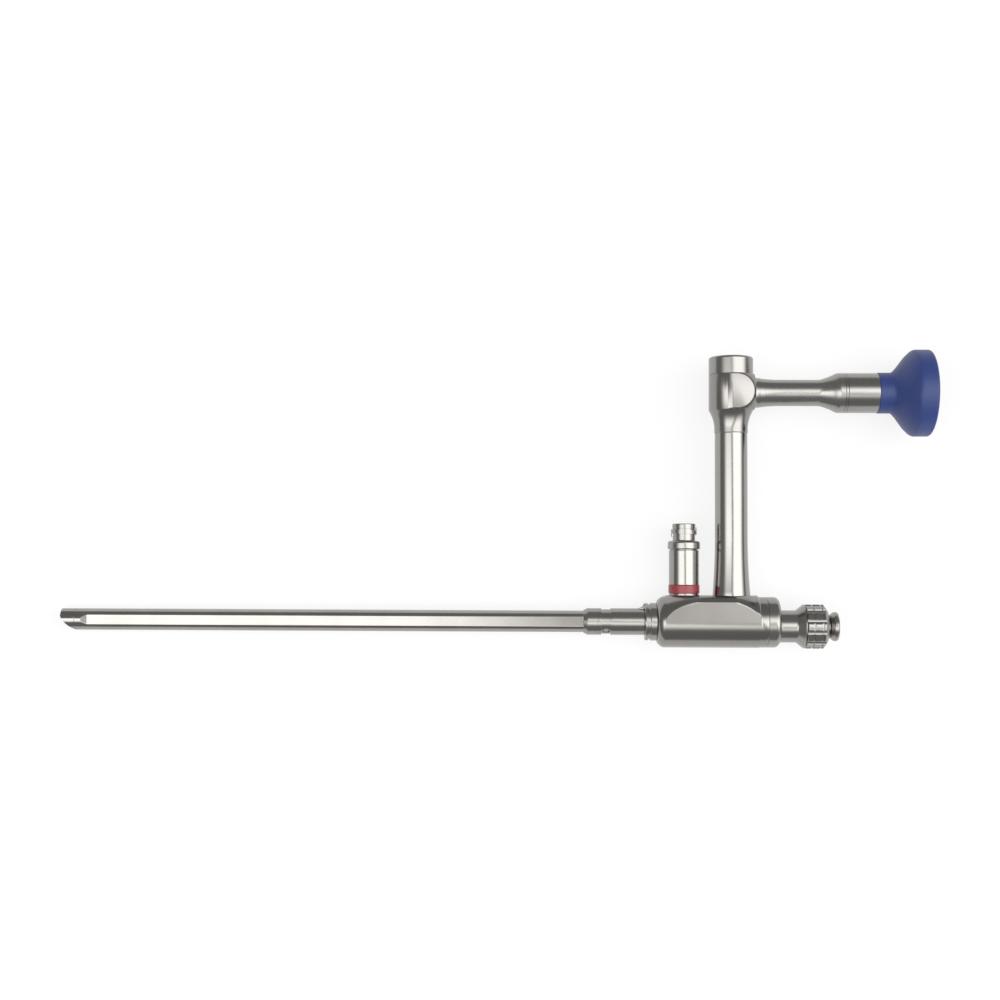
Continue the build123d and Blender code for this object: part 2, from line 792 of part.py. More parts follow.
def ocular_barrel():
    """Barrel that holds the eyepiece lenses, with a spigot for the eyecup."""
    start = barrel_start + joint_ring_width
    end = barrel_back + barrel_spigot_length
    barrel = rod_x(barrel_diameter, start, barrel_back, ocular_y)
    barrel += rod_x(barrel_spigot_diameter, barrel_back, end, ocular_y)
    barrel -= rod_x(barrel_joint_diameter + 2 * fit_gap, start, start + barrel_joint_length, ocular_y)
    return barrel - rod_x(barrel_bore, start, end, ocular_y)


def eyepiece_lens(place, bulge_side):
    """Lens with one flat and one domed face, domed towards +X or -X."""
    lens_radius = barrel_bore / 2 - fit_gap
    dome_radius = lens_radius - ring_wall - fit_gap
    flat = place if bulge_side > 0 else place + lens_edge
    edge = flat + bulge_side * lens_edge
    peak = flat + bulge_side * lens_centre
    sagitta = lens_centre - lens_edge
    curve = (dome_radius ** 2 + sagitta ** 2) / (2 * sagitta)
    middle_r = dome_radius / 2
    middle_x = peak - bulge_side * (curve - math.sqrt(curve ** 2 - middle_r ** 2))
    arc = ThreePointArc((peak, 0), (middle_x, middle_r), (edge, dome_radius))
    rest = Polyline((edge, dome_radius), (edge, lens_radius), (flat, lens_radius), (flat, 0),
                    (peak, 0))
    return turned_x(arc + rest, ocular_y)


def ocular_parts():
    """What the barrel holds, in order: stop, lens, spacer, lens, retainer and window."""
    outer = barrel_bore - 2 * fit_gap
    inner = outer - 2 * ring_wall
    stop = barrel_start + joint_ring_width + barrel_joint_length
    front_lens = stop + field_stop_thickness
    spacer = front_lens + lens_edge
    rear_lens = spacer + ocular_gap
    retainer = rear_lens + lens_edge
    end = barrel_back + barrel_spigot_length
    window = end - eye_window_thickness
    return {
        "field_stop": tube_x(outer, field_stop_hole, stop, front_lens, ocular_y),
        "ocular_lens_front": eyepiece_lens(front_lens, 1),
        "ocular_spacer": tube_x(outer, inner, spacer, rear_lens, ocular_y),
        "ocular_lens_rear": eyepiece_lens(rear_lens, -1),
        "lens_retainer": tube_x(outer, inner, retainer, window, ocular_y),
        "eyepiece_window": rod_x(outer, window, end, ocular_y),
    }


def eyecup():
    """Standard round eyecup, one moulded piece with a hollow front."""
    neck_r = eyecup_neck_diameter / 2
    rim_r = eyecup_diameter / 2
    cone = barrel_back + barrel_spigot_length
    rim = eyecup_front - eyecup_rim_round - eyecup_rim
    slope = Spline(
        (cone, neck_r),
        *between((cone, neck_r), (rim, rim_r), eyecup_slope),
        (rim, rim_r),
        tangents=((1, 0.35), (1, 0.05)),
    )
    corner = ThreePointArc(
        (eyecup_front - eyecup_rim_round, rim_r),
        (eyecup_front - eyecup_rim_round * (1 - math.sin(math.pi / 4)),
         rim_r - eyecup_rim_round * (1 - math.cos(math.pi / 4))),
        (eyecup_front, rim_r - eyecup_rim_round),
    )
    band = Line((rim, rim_r), (eyecup_front - eyecup_rim_round, rim_r))
    bore_r_cup = barrel_spigot_diameter / 2 + fit_gap
    rest = Polyline(
        (eyecup_front, rim_r - eyecup_rim_round),
        (eyecup_front, rim_r - eyecup_lip),
        (cone + eyecup_shoulder, eyecup_hole / 2 + eyecup_seat_edge),
        (cone + eyecup_shoulder, eyecup_hole / 2),
        (cone, eyecup_hole / 2),
        (cone, bore_r_cup),
        (barrel_back, bore_r_cup),
        (barrel_back, neck_r),
        (cone, neck_r),
    )
    return turned_x(slope + band + corner + rest, ocular_y)


def port_neck():
    """Rear neck of the body: waist, flared shoulder, and the journal that the ring turns on."""
    neck_r = port_neck_diameter / 2
    shoulder_r = port_flange_diameter / 2
    outline = Polyline(
        (rear_back, 0),
        (rear_back, neck_r),
        (rear_back + port_neck_length, neck_r),
        (port_back - port_edge_length, shoulder_r - port_edge_drop),
        (port_back, shoulder_r),
        (port_back, journal_diameter / 2),
        (journal_end, journal_diameter / 2),
        (journal_end, 0),
        close=True,
    )
    neck = turned_x(outline, channel_y)
    for side in (1, -1):
        neck -= pin_slot(side)
    neck -= channel_hole(rear_back, rear_back + channel_tail)
    neck -= rod_x(2 * channel_bore_r, rear_back, journal_end, channel_y)
    return neck - rod_x(journal_bore + 2 * fit_gap, gasket_front, journal_end, channel_y)


def pin_slot(side):
    """Slot in the journal that lets one ring pin turn through the ring's range."""
    width = pin_diameter + 2 * end_gap
    floor_r = journal_diameter / 2 - pin_reach - end_gap
    centre = ring_front + pin_place
    ring = tube_x(journal_diameter + 2 * end_gap, 2 * floor_r, centre - width / 2, centre + width / 2)
    margin = math.degrees((pin_diameter / 2 + end_gap) / floor_r)
    first = math.radians(-margin)
    last = math.radians(ring_turn + margin)
    middle = (first + last) / 2
    far = 2 * journal_diameter
    wedge = Polyline(
        (0, 0),
        (far * math.cos(first), far * math.sin(first)),
        (far * math.cos(middle), far * math.sin(middle)),
        (far * math.cos(last), far * math.sin(last)),
        close=True,
    )
    sector = extrude(Plane.YZ * make_face(wedge), ring_back)
    slot = ring & sector
    return Pos(0, channel_y, 0) * Rot(90 - 90 * side, 0, 0) * slot


def ring_pins():
    """Two guide pins pressed into the locking ring."""
    tip_r = journal_diameter / 2 - pin_reach
    out_r = ring_diameter / 2 - 2 * flute_depth
    centre = ring_front + pin_place
    pin = rod_y(pin_diameter, tip_r, out_r, centre)
    return [Pos(0, channel_y, 0) * Rot(90 - 90 * side, 0, 0) * pin for side in (1, -1)]


def locking_ring():
    """Grip ring that turns on the port, with flutes along it and two grooves round it."""
    ring_r = ring_diameter / 2
    outline = Polyline(
        (ring_front, journal_diameter / 2 + run_gap),
        (ring_front, ring_r - ring_edge),
        (ring_front + ring_edge, ring_r),
        (ring_back - ring_chamfer, ring_r),
        (ring_back - ring_edge, ring_r - ring_chamfer),
        (ring_back, ring_r - ring_chamfer - ring_face_step),
        (ring_back, journal_diameter / 2 + run_gap),
        close=True,
    )
    ring = turned_x(outline)
    for place in (ring_groove_a, ring_groove_b):
        centre = ring_front + place
        ring -= tube_x(ring_diameter + 1, ring_diameter - 2 * ring_groove_depth,
                       centre - ring_groove_width / 2, centre + ring_groove_width / 2)
    reach = ring_r - flute_depth + flute_radius
    for number in range(ring_flutes):
        angle = math.radians(flute_first + number * 360 / ring_flutes)
        ring -= rod_x(2 * flute_radius, ring_front, ring_back, -reach * math.sin(angle),
                      reach * math.cos(angle))
    ring = Pos(0, channel_y, 0) * ring
    out_r = ring_diameter / 2 - 2 * flute_depth
    hole = rod_y(pin_diameter + 2 * fit_gap, 0, out_r, ring_front + pin_place)
    for side in (1, -1):
        ring -= Pos(0, channel_y, 0) * Rot(90 - 90 * side, 0, 0) * hole
    return ring


def port_gasket():
    """Rubber disc that seals round an instrument in the channel."""
    return tube_x(journal_bore, gasket_hole, gasket_front, gasket_front + gasket_thickness, channel_y)


def port_funnel():
    """Mouth of the channel, screwed into the journal, flared so that instruments find the hole."""
    stem_r = funnel_stem_diameter / 2
    mouth_r = funnel_mouth_diameter / 2
    stem_end = journal_end + funnel_stem_length
    flare_end = stem_end + funnel_flare
    mouth = flare_end + funnel_rim
    spigot_start = gasket_front + gasket_thickness
    outline = Polyline(
        (spigot_start, channel_bore_r),
        (spigot_start, journal_bore / 2),
        (journal_end, journal_bore / 2),
        (journal_end, stem_r),
        (stem_end, stem_r),
        (flare_end, mouth_r),
        (flare_end + funnel_rim / 2, mouth_r),
        (mouth, mouth_r - funnel_lip / 2),
        (mouth, mouth_r - funnel_lip),
        (mouth - funnel_cup, channel_bore_r),
        close=True,
    )
    return turned_x(outline, channel_y)


def post_base():
    """Foot and core of the light post, seated in the top of the body."""
    core_top = post_top_of_base + post_core_height
    base = rod_y(post_base_diameter, post_foot, post_top_of_base, post_x)
    base += rod_y(post_spigot_diameter, post_foot - post_spigot_length, post_foot, post_x)
    base += rod_y(post_core_diameter, post_top_of_base, core_top, post_x)
    return base - rod_y(light_diameter + 2 * fit_gap, post_foot - post_spigot_length, core_top, post_x)


def colour_ring():
    """Coloured band round the light post."""
    return tube_y(colour_ring_diameter, post_core_diameter + 2 * fit_gap, post_top_of_base,
                  ring_seat_top, post_x)


def post_barrel():
    """Outer sleeve of the light post, screwed on the core, with the nipple screwed in its top."""
    core_top = post_top_of_base + post_core_height
    barrel = rod_y(post_barrel_diameter, ring_seat_top, nipple_foot, post_x)
    barrel -= rod_y(post_core_diameter + 2 * fit_gap, ring_seat_top, core_top, post_x)
    return barrel - rod_y(nipple_spigot_diameter + 2 * fit_gap, ring_seat_top, nipple_foot, post_x)


def post_nipple():
    """Connector for the light cable: collar, neck, thread ridges and plain top."""
    gap_r = nipple_gap_diameter / 2
    collar_r = collar_diameter / 2
    neck_r = nipple_neck_diameter / 2
    crest_r = thread_diameter / 2
    top_r = nipple_top_diameter / 2
    collar_low = nipple_foot + nipple_gap
    collar_high = collar_low + collar_height
    thread_low = collar_high + nipple_neck_height
    points = [
        (0, nipple_foot - nipple_spigot_length),
        (nipple_spigot_diameter / 2, nipple_foot - nipple_spigot_length),
        (nipple_spigot_diameter / 2, nipple_foot),
        (gap_r, nipple_foot),
        (gap_r, collar_low),
        (collar_r - collar_round, collar_low),
        (collar_r, collar_low + collar_round),
        (collar_r, collar_high - collar_round),
        (collar_r - collar_round, collar_high),
        (neck_r, collar_high),
        (neck_r, thread_low),
    ]
    for number in range(thread_ridges):
        foot = thread_low + number * thread_pitch
        crest_start, crest_end, ridge_end = thread_shape
        points.append((crest_r, foot + crest_start * thread_pitch))
        points.append((crest_r, foot + crest_end * thread_pitch))
        points.append((neck_r, foot + ridge_end * thread_pitch))
    top_low = thread_low + thread_ridges * thread_pitch
    points.append((neck_r, top_low))
    points.append((top_r, top_low))
    points.append((top_r, nipple_top - collar_round / 2))
    points.append((top_r - collar_round / 2, nipple_top))
    points.append((0, nipple_top))
    nipple = turned_y(Polyline(*points, close=True), post_x)
    bore = light_diameter + 2 * ferrule_wall + 4 * fit_gap
    return nipple - rod_y(bore, nipple_foot - nipple_spigot_length, nipple_top, post_x)


def light_ferrule():
    """Thin tube that the fibres are cemented and polished in."""
    bore = light_diameter + 2 * fit_gap
    return tube_y(bore + 2 * ferrule_wall, bore, nipple_foot - nipple_spigot_length, nipple_top, post_x)


def fibre_face():
    """Polished glass end that light enters through."""
    return rod_y(light_diameter, nipple_top - light_face, nipple_top, post_x)


def rest_pose():
    """Turn from the drawing's frame to the pose in which tip, body and eyecup rim touch a table."""
    rim_x = eyecup_front - eyecup_rim_round - eyecup_rim
    nose_x = body_front + body_nose
    slope_x = (body_r - shaft_r) / (nose_x - rest_plane_front)
    slope_y = ((eyecup_diameter / 2 - body_r) - slope_x * (rim_x - nose_x)) / ocular_y
    return Rot(0, -math.degrees(math.atan(slope_x)), 0) * Rot(math.degrees(math.asin(slope_y)), 0, 0)


def all_pieces():
    """Every node by name, each one solid or a list of like solids."""
    rods, rod_spacers = rod_train()
    relays, relay_spacers = relay_train()
    pieces = {
        "distal_tip": distal_tip(),
        "shaft_tube": shaft_tube(),
        "working_channel_tube": working_channel_tube(),
        "optic_tube": optic_tube(),
        "distal_window": distal_window(),
        "objective_lens": objective_lens(),
        "rod_spacers": rod_spacers,
        "fibre_bundle": fibre_bundle(),
        "coupling_sleeve": coupling_sleeve(),
        "front_flange": front_flange(),
        "flange_seal": flange_seal(),
        "main_body": main_body(),
        "rear_cap": rear_cap(),
        "body_prism_mount": body_prism_mount(),
        "body_prism": body_prism(),
        "riser_tube": riser_tube(),
        "relay_cell": relay_cell(),
        "relay_spacers": relay_spacers,
        "prism_housing": prism_housing(),
        "prism_cradle": prism_cradle(),
        "knee_prism": knee_prism_glass(),
        "housing_cap": housing_cap(),
        "cap_seal": cap_seal(),
        "eyepiece_tube": eyepiece_tube(),
        "joint_ring": joint_ring(),
        "ocular_barrel": ocular_barrel(),
        "eyecup": eyecup(),
        "port_neck": port_neck(),
        "ring_pins": ring_pins(),
        "locking_ring": locking_ring(),
        "port_gasket": port_gasket(),
        "port_funnel": port_funnel(),
        "post_base": post_base(),
        "colour_ring": colour_ring(),
        "post_barrel": post_barrel(),
        "post_nipple": post_nipple(),
        "light_ferrule": light_ferrule(),
        "fibre_face": fibre_face(),
    }
    pieces.update(ocular_parts())
    for number, rod in enumerate(rods, start=1):
        pieces[f"rod_lens_{number}"] = rod
    for number, lens in enumerate(relays, start=1):
        pieces[f"relay_lens_{number}"] = lens
    return pieces


def main():
    """Write one file for each node."""
    os.makedirs("parts", exist_ok=True)
    pose = rest_pose()
    for name, piece in all_pieces().items():
        solids = piece if isinstance(piece, list) else piece.solids()
        placed = [pose * solid for solid in solids]
        shape = placed[0] if len(placed) == 1 else Compound(children=placed)
        shape.label = name
        export_step(shape, f"parts/{name}.step")


main()
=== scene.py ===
"""Rigid endoscope with an offset eyepiece, dressed for the studio.

Shapes are drawn in millimetres in the drawing's frame: X along the shaft towards the port, Y towards the
eyepiece, Z out of the table, and the origin on the shaft axis at the front face of the flange. A finished
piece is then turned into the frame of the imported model, in metres.
"""
import json
import logging
import math
from dataclasses import dataclass
from enum import Enum
from typing import Any, Callable, Sequence

import bmesh
import bpy
from mathutils import Matrix, Vector


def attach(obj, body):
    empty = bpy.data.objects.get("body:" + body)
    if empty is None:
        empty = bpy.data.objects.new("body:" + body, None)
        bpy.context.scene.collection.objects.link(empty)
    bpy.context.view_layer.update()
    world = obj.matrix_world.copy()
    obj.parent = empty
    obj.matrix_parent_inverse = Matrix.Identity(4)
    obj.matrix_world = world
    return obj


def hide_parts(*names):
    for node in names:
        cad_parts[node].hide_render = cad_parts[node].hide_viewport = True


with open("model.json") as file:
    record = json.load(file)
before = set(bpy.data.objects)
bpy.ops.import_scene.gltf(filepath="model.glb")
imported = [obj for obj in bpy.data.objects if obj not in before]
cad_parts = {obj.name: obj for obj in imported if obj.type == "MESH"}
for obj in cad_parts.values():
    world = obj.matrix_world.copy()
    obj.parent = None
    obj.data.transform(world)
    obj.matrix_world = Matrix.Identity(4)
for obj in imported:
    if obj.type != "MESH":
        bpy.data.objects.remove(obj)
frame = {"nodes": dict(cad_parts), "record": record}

LOG = logging.getLogger("endoscope")

Pair = tuple[float, float]
Corner = tuple[float, float, float]
Point = tuple[float, float, float]


class Turning(Enum):
    """Axis that a piece is turned about."""

    SHAFT = "x"
    RISER = "y"


class Grain(Enum):
    """How a metal surface was worked."""

    AROUND_SHAFT = (5.0, 0.25, 0.25)
    AROUND_RISER = (0.25, 5.0, 0.25)
    ALONG_SHAFT = (0.03, 6.0, 6.0)
    BLASTED = (9.0, 9.0, 9.0)


def rest_turn() -> Matrix:
    """Turn from the drawing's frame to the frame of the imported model.

    Returns:
        A 4 x 4 rotation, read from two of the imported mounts.
    """
    mounts = {mount["name"]: mount for mount in frame["record"]["mounts"]}
    along = -Vector(mounts["sheath_stop"]["axis"]).normalized()
    up = Vector(mounts["light_connector"]["axis"]).normalized()
    out = along.cross(up).normalized()
    return Matrix((along, up, out)).transposed().to_4x4()


REST = rest_turn()
TO_MODEL = REST @ Matrix.Scale(0.001, 4)


# Outlines of turned pieces


def rounded(corners: Sequence[Corner], steps: int = 4, support: float = 0.12) -> list[Pair]:
    """Round the corners of an outline.

    Args:
        corners: Place along the axis, radius and fillet of each corner.
        steps: Divisions of each fillet.
        support: Distance of the extra point that keeps the flat beside a fillet flat.

    Returns:
        The outline's points.
    """
    result: list[Pair] = []
    for number, (x, r, fillet) in enumerate(corners):
        here = Vector((x, r))
        if number in (0, len(corners) - 1) or fillet <= 0:
            result.append((x, r))
            continue
        before = Vector(corners[number - 1][:2]) - here
        after = Vector(corners[number + 1][:2]) - here
        angle = before.angle(after)
        if angle > math.pi - 0.02:
            result.append((x, r))
            continue
        cut = min(fillet / math.tan(angle / 2), 0.45 * before.length, 0.45 * after.length)
        first = here + before.normalized() * cut
        last = here + after.normalized() * cut
        centre = here + (before.normalized() + after.normalized()).normalized() * (
            cut / math.cos(angle / 2))
        spoke = first - centre
        sweep = spoke.angle_signed(last - centre)
        if before.length - cut > 2 * support:
            result.append(tuple(first + before.normalized() * support))
        for step in range(steps + 1):
            turn = Matrix.Rotation(-sweep * step / steps, 2)
            result.append(tuple(centre + turn @ spoke))
        if after.length - cut > 2 * support:
            result.append(tuple(last + after.normalized() * support))
    return result


def swept(points: Sequence[Pair], start: Pair, end: Pair, steps: int = 14) -> list[Pair]:
    """Smooth curve through points.

    Args:
        points: What the curve passes through.
        start: Direction at the first point.
        end: Direction at the last point.
        steps: Divisions between two points.

    Returns:
        Points on the curve.
    """
    path = [Vector(point) for point in points]
    slopes = []
    for number in range(len(path)):
        if 0 < number < len(path) - 1:
            before = path[number] - path[number - 1]
            after = path[number + 1] - path[number]
            slopes.append((before / before.length + after / after.length).normalized())
        else:
            slopes.append(Vector(start if number == 0 else end).normalized())
    result: list[Pair] = []
    for number in range(len(path) - 1):
        a, b = path[number], path[number + 1]
        length = (b - a).length
        for step in range(steps if number < len(path) - 2 else steps + 1):
            t = step / steps
            point = ((2 * t**3 - 3 * t**2 + 1) * a + (t**3 - 2 * t**2 + t) * length * slopes[number]
                     + (3 * t**2 - 2 * t**3) * b + (t**3 - t**2) * length * slopes[number + 1])
            result.append(tuple(point))
    return result


def eased(start: Pair, end: Pair, steps: int = 16) -> list[Pair]:
    """Arc that leaves a straight tube smoothly and widens it.

    Args:
        start: Place and radius where the arc is in line with the tube.
        end: Place and radius where it ends.
        steps: Divisions.

    Returns:
        Points on the arc.
    """
    run = end[0] - start[0]
    rise = end[1] - start[1]
    radius = (run**2 + rise**2) / (2 * rise)
    points = []
    for step in range(steps + 1):
        along = run * step / steps
        points.append((start[0] + along, start[1] + radius - math.sqrt(radius**2 - along**2)))
    return points


# Pieces


class Form:
    """One piece while it is being made, in millimetres in the drawing's frame."""

    def __init__(self, name: str, points: Sequence[Point], faces: Sequence[Sequence[int]]) -> None:
        """Make the piece's mesh, with its faces turned outwards.

        Args:
            name: Name of the piece.
            points: Corners.
            faces: Corner numbers of each face.
        """
        mesh = bpy.data.meshes.new(name)
        mesh.from_pydata(points, [], faces)
        self.thing = bpy.data.objects.new(name, mesh)
        bpy.context.scene.collection.objects.link(self.thing)
        self.tidy()

    def tidy(self, distance: float = 1e-4) -> None:
        """Merge doubled corners and turn all faces outwards.

        Args:
            distance: Corners nearer than this become one.
        """
        work = bmesh.new()
        work.from_mesh(self.thing.data)
        bmesh.ops.remove_doubles(work, verts=work.verts, dist=distance)
        bmesh.ops.dissolve_degenerate(work, dist=distance / 10, edges=work.edges)
        bmesh.ops.recalc_face_normals(work, faces=work.faces)
        work.to_mesh(self.thing.data)
        work.free()

    @classmethod
    def turned(cls, name: str, outline: Sequence[Pair], turning: Turning, centre: float = 0.0,
               segments: int = 144, closed: bool = False) -> "Form":
        """Turn an outline about an axis.

        Args:
            name: Name of the piece.
            outline: Place along the axis and radius of each point.
            turning: Axis.
            centre: Y of an axis along X, or X of an axis along Y.
            segments: Divisions round the axis.
            closed: Whether the outline's last point joins its first, as on a tube.

        Returns:
            The turned piece.
        """
        points: list[Point] = []
        rings: list[list[int]] = []
        for along, radius in outline:
            if radius < 1e-6:
                points.append(cls.spot(turning, centre, along, 0.0, 0.0))
                rings.append([len(points) - 1] * segments)
                continue
            ring = []
            for number in range(segments):
                angle = 2 * math.pi * number / segments
                points.append(cls.spot(turning, centre, along, radius * math.cos(angle),
                                       radius * math.sin(angle)))
                ring.append(len(points) - 1)
            rings.append(ring)
        if closed:
            rings.append(rings[0])
        return cls(name, points, cls.skin(rings))

    @staticmethod
    def spot(turning: Turning, centre: float, along: float, side: float, out: float) -> Point:
        """Point beside one of the two axes."""
        if turning is Turning.SHAFT:
            return (along, centre + side, out)
        return (centre + side, along, out)

    @staticmethod
    def skin(rings: Sequence[Sequence[int]]) -> list[list[int]]:
        """Faces between rings of corners, each ring closed on itself.

        Args:
            rings: Corner numbers, one list for each ring, where a repeated number is a pole.

        Returns:
            Corner numbers of the faces.
        """
        faces = []
        for low, high in zip(rings, rings[1:]):
            count = len(low)
            for number in range(count):
                after = (number + 1) % count
                face = [low[number], low[after], high[after], high[number]]
                distinct = list(dict.fromkeys(face))
                if len(distinct) > 2:
                    faces.append(distinct)
        return faces

    @classmethod
    def lofted(cls, name: str, rings: Sequence[Sequence[Point]], ends: bool = True) -> "Form":
        """Skin over rings that have the same number of points.

        Args:
            name: Name of the piece.
            rings: Points of each ring.
            ends: Whether the two ends are closed with flat faces.

        Returns:
            The piece.
        """
        points = [point for ring in rings for point in ring]
        count = len(rings[0])
        numbers = [list(range(k * count, (k + 1) * count)) for k in range(len(rings))]
        faces = cls.skin(numbers)
        if ends:
            faces += [numbers[0][::-1], numbers[-1]]
        return cls(name, points, faces)

    @classmethod
    def prism(cls, name: str, outline: Sequence[Pair], low: float, high: float) -> "Form":
        """Outline in X and Y, drawn out along Z.

        Args:
            name: Name of the piece.
            outline: Corners.
            low: Lowest Z.
            high: Highest Z.

        Returns:
            The piece.
        """
        return cls.lofted(name, [[(x, y, z) for x, y in outline] for z in (low, high)])

    def moved(self, matrix: Matrix) -> "Form":
        """Move or turn the mesh itself.

        Args:
            matrix: The move.

        Returns:
            The same piece.
        """
        self.thing.data.transform(matrix)
        return self

    def worked(self, add: Callable[[bpy.types.Object], None]) -> "Form":
        """Add a modifier and keep its result as the mesh.

        Args:
            add: Adds the modifier to the object.

        Returns:
            The same piece.
        """
        add(self.thing)
        graph = bpy.context.evaluated_depsgraph_get()
        mesh = bpy.data.meshes.new_from_object(self.thing.evaluated_get(graph))
        self.thing.modifiers.clear()
        old = self.thing.data
        self.thing.data = mesh
        bpy.data.meshes.remove(old)
        return self

    def combined(self, other: "Form", operation: str) -> "Form":
        """Cut, add or keep what it shares with another piece, which is used up.

        Args:
            other: The other piece.
            operation: DIFFERENCE, UNION or INTERSECT.

        Returns:
            The same piece.
        """
        def add(thing: bpy.types.Object) -> None:
            """Add the Boolean."""
            modifier = thing.modifiers.new("combine", "BOOLEAN")
            modifier.solver = "EXACT"
            modifier.operation = operation
            modifier.object = other.thing

        self.worked(add)
        other.drop()
        return self

    def softened(self, width: float, segments: int = 2, angle: float = 30.0) -> "Form":
        """Break the sharp edges.

        Args:
            width: Width of the broken edge.
            segments: Divisions across it.
            angle: Edges sharper than this are broken, in degrees.

        Returns:
            The same piece.
        """
        def add(thing: bpy.types.Object) -> None:
            """Add the Bevel."""
            modifier = thing.modifiers.new("soften", "BEVEL")
            modifier.width = width
            modifier.segments = segments
            modifier.limit_method = "ANGLE"
            modifier.angle_limit = math.radians(angle)
            modifier.use_clamp_overlap = True

        return self.worked(add)

    def joined(self, other: "Form") -> "Form":
        """Take another piece's mesh into this one.

        Args:
            other: The other piece, which is used up.

        Returns:
            The same piece.
        """
        work = bmesh.new()
        work.from_mesh(self.thing.data)
        work.from_mesh(other.thing.data)
        work.to_mesh(self.thing.data)
        work.free()
        other.drop()
        return self

    def drop(self) -> None:
        """Remove the piece."""
        mesh = self.thing.data
        bpy.data.objects.remove(self.thing)
        bpy.data.meshes.remove(mesh)

    def done(self, material: bpy.types.Material, slot: str, nodes: Sequence[str],
             body: str = "scope", sharp: float = 38.0) -> "Form":
        """Put the piece in the model's frame, dress it and let it stand for its CAD nodes.

        Args:
            material: Its finish.
            slot: Slot of the record that the finish belongs to; not used.
            nodes: CAD nodes that the piece replaces.
            body: Body that it rides on.
            sharp: Angle past which an edge is shaded sharp, in degrees.

        Returns:
            The same piece.
        """
        mesh = self.thing.data
        mesh.transform(TO_MODEL)
        mesh.materials.clear()
        mesh.materials.append(material)
        mesh.shade_smooth()
        mesh.set_sharp_from_angle(angle=math.radians(sharp))
        mesh.update()
        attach(self.thing, body)
        if nodes:
            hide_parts(*nodes)
        mesh.calc_loop_triangles()
        LOG.info("%s: %d triangles", self.thing.name, len(mesh.loop_triangles))
        return self


# Shader maths


class Value:
    """A shader socket that takes part in arithmetic."""

    def __init__(self, tree: bpy.types.NodeTree, socket: bpy.types.NodeSocket) -> None:
        """Hold the socket and its tree."""
        self.tree = tree
        self.socket = socket

    def _math(self, operation: str, *terms: Any) -> "Value":
        """Add one Math node.

        Args:
            operation: Its operation.
            terms: Numbers or values, in order.

        Returns:
            Its result.
        """
        node = self.tree.nodes.new("ShaderNodeMath")
        node.operation = operation
        for number, term in enumerate(terms):
            if isinstance(term, Value):
                self.tree.links.new(term.socket, node.inputs[number])
            else:
                node.inputs[number].default_value = float(term)
        return Value(self.tree, node.outputs[0])

    def __add__(self, other: Any) -> "Value":
        """Sum."""
        return self._math("ADD", self, other)

    def __radd__(self, other: Any) -> "Value":
        """Sum, reflected."""
        return self._math("ADD", other, self)

    def __sub__(self, other: Any) -> "Value":
        """Difference."""
        return self._math("SUBTRACT", self, other)

    def __rsub__(self, other: Any) -> "Value":
        """Difference, reflected."""
        return self._math("SUBTRACT", other, self)

    def __mul__(self, other: Any) -> "Value":
        """Product."""
        return self._math("MULTIPLY", self, other)

    def __rmul__(self, other: Any) -> "Value":
        """Product, reflected."""
        return self._math("MULTIPLY", other, self)

    def __truediv__(self, other: Any) -> "Value":
        """Quotient."""
        return self._math("DIVIDE", self, other)

    def __pow__(self, other: Any) -> "Value":
        """Power."""
        return self._math("POWER", self, other)

    def atan2(self, other: "Value") -> "Value":
        """Angle of the pair, in radians."""
        return self._math("ARCTAN2", self, other)

    def clamped(self) -> "Value":
        """Held between 0 and 1."""
        node_value = self._math("ADD", self, 0.0)
        node_value.socket.node.use_clamp = True
        return node_value

    def ramp(self, low: float, high: float) -> "Value":
        """Smooth rise from 0 at low to 1 at high.

        Args:
            low: Where it leaves 0.
            high: Where it reaches 1.

        Returns:
            The smooth step.
        """
        t = ((self - low) / (high - low)).clamped()
        return t * t * (3.0 - 2.0 * t)


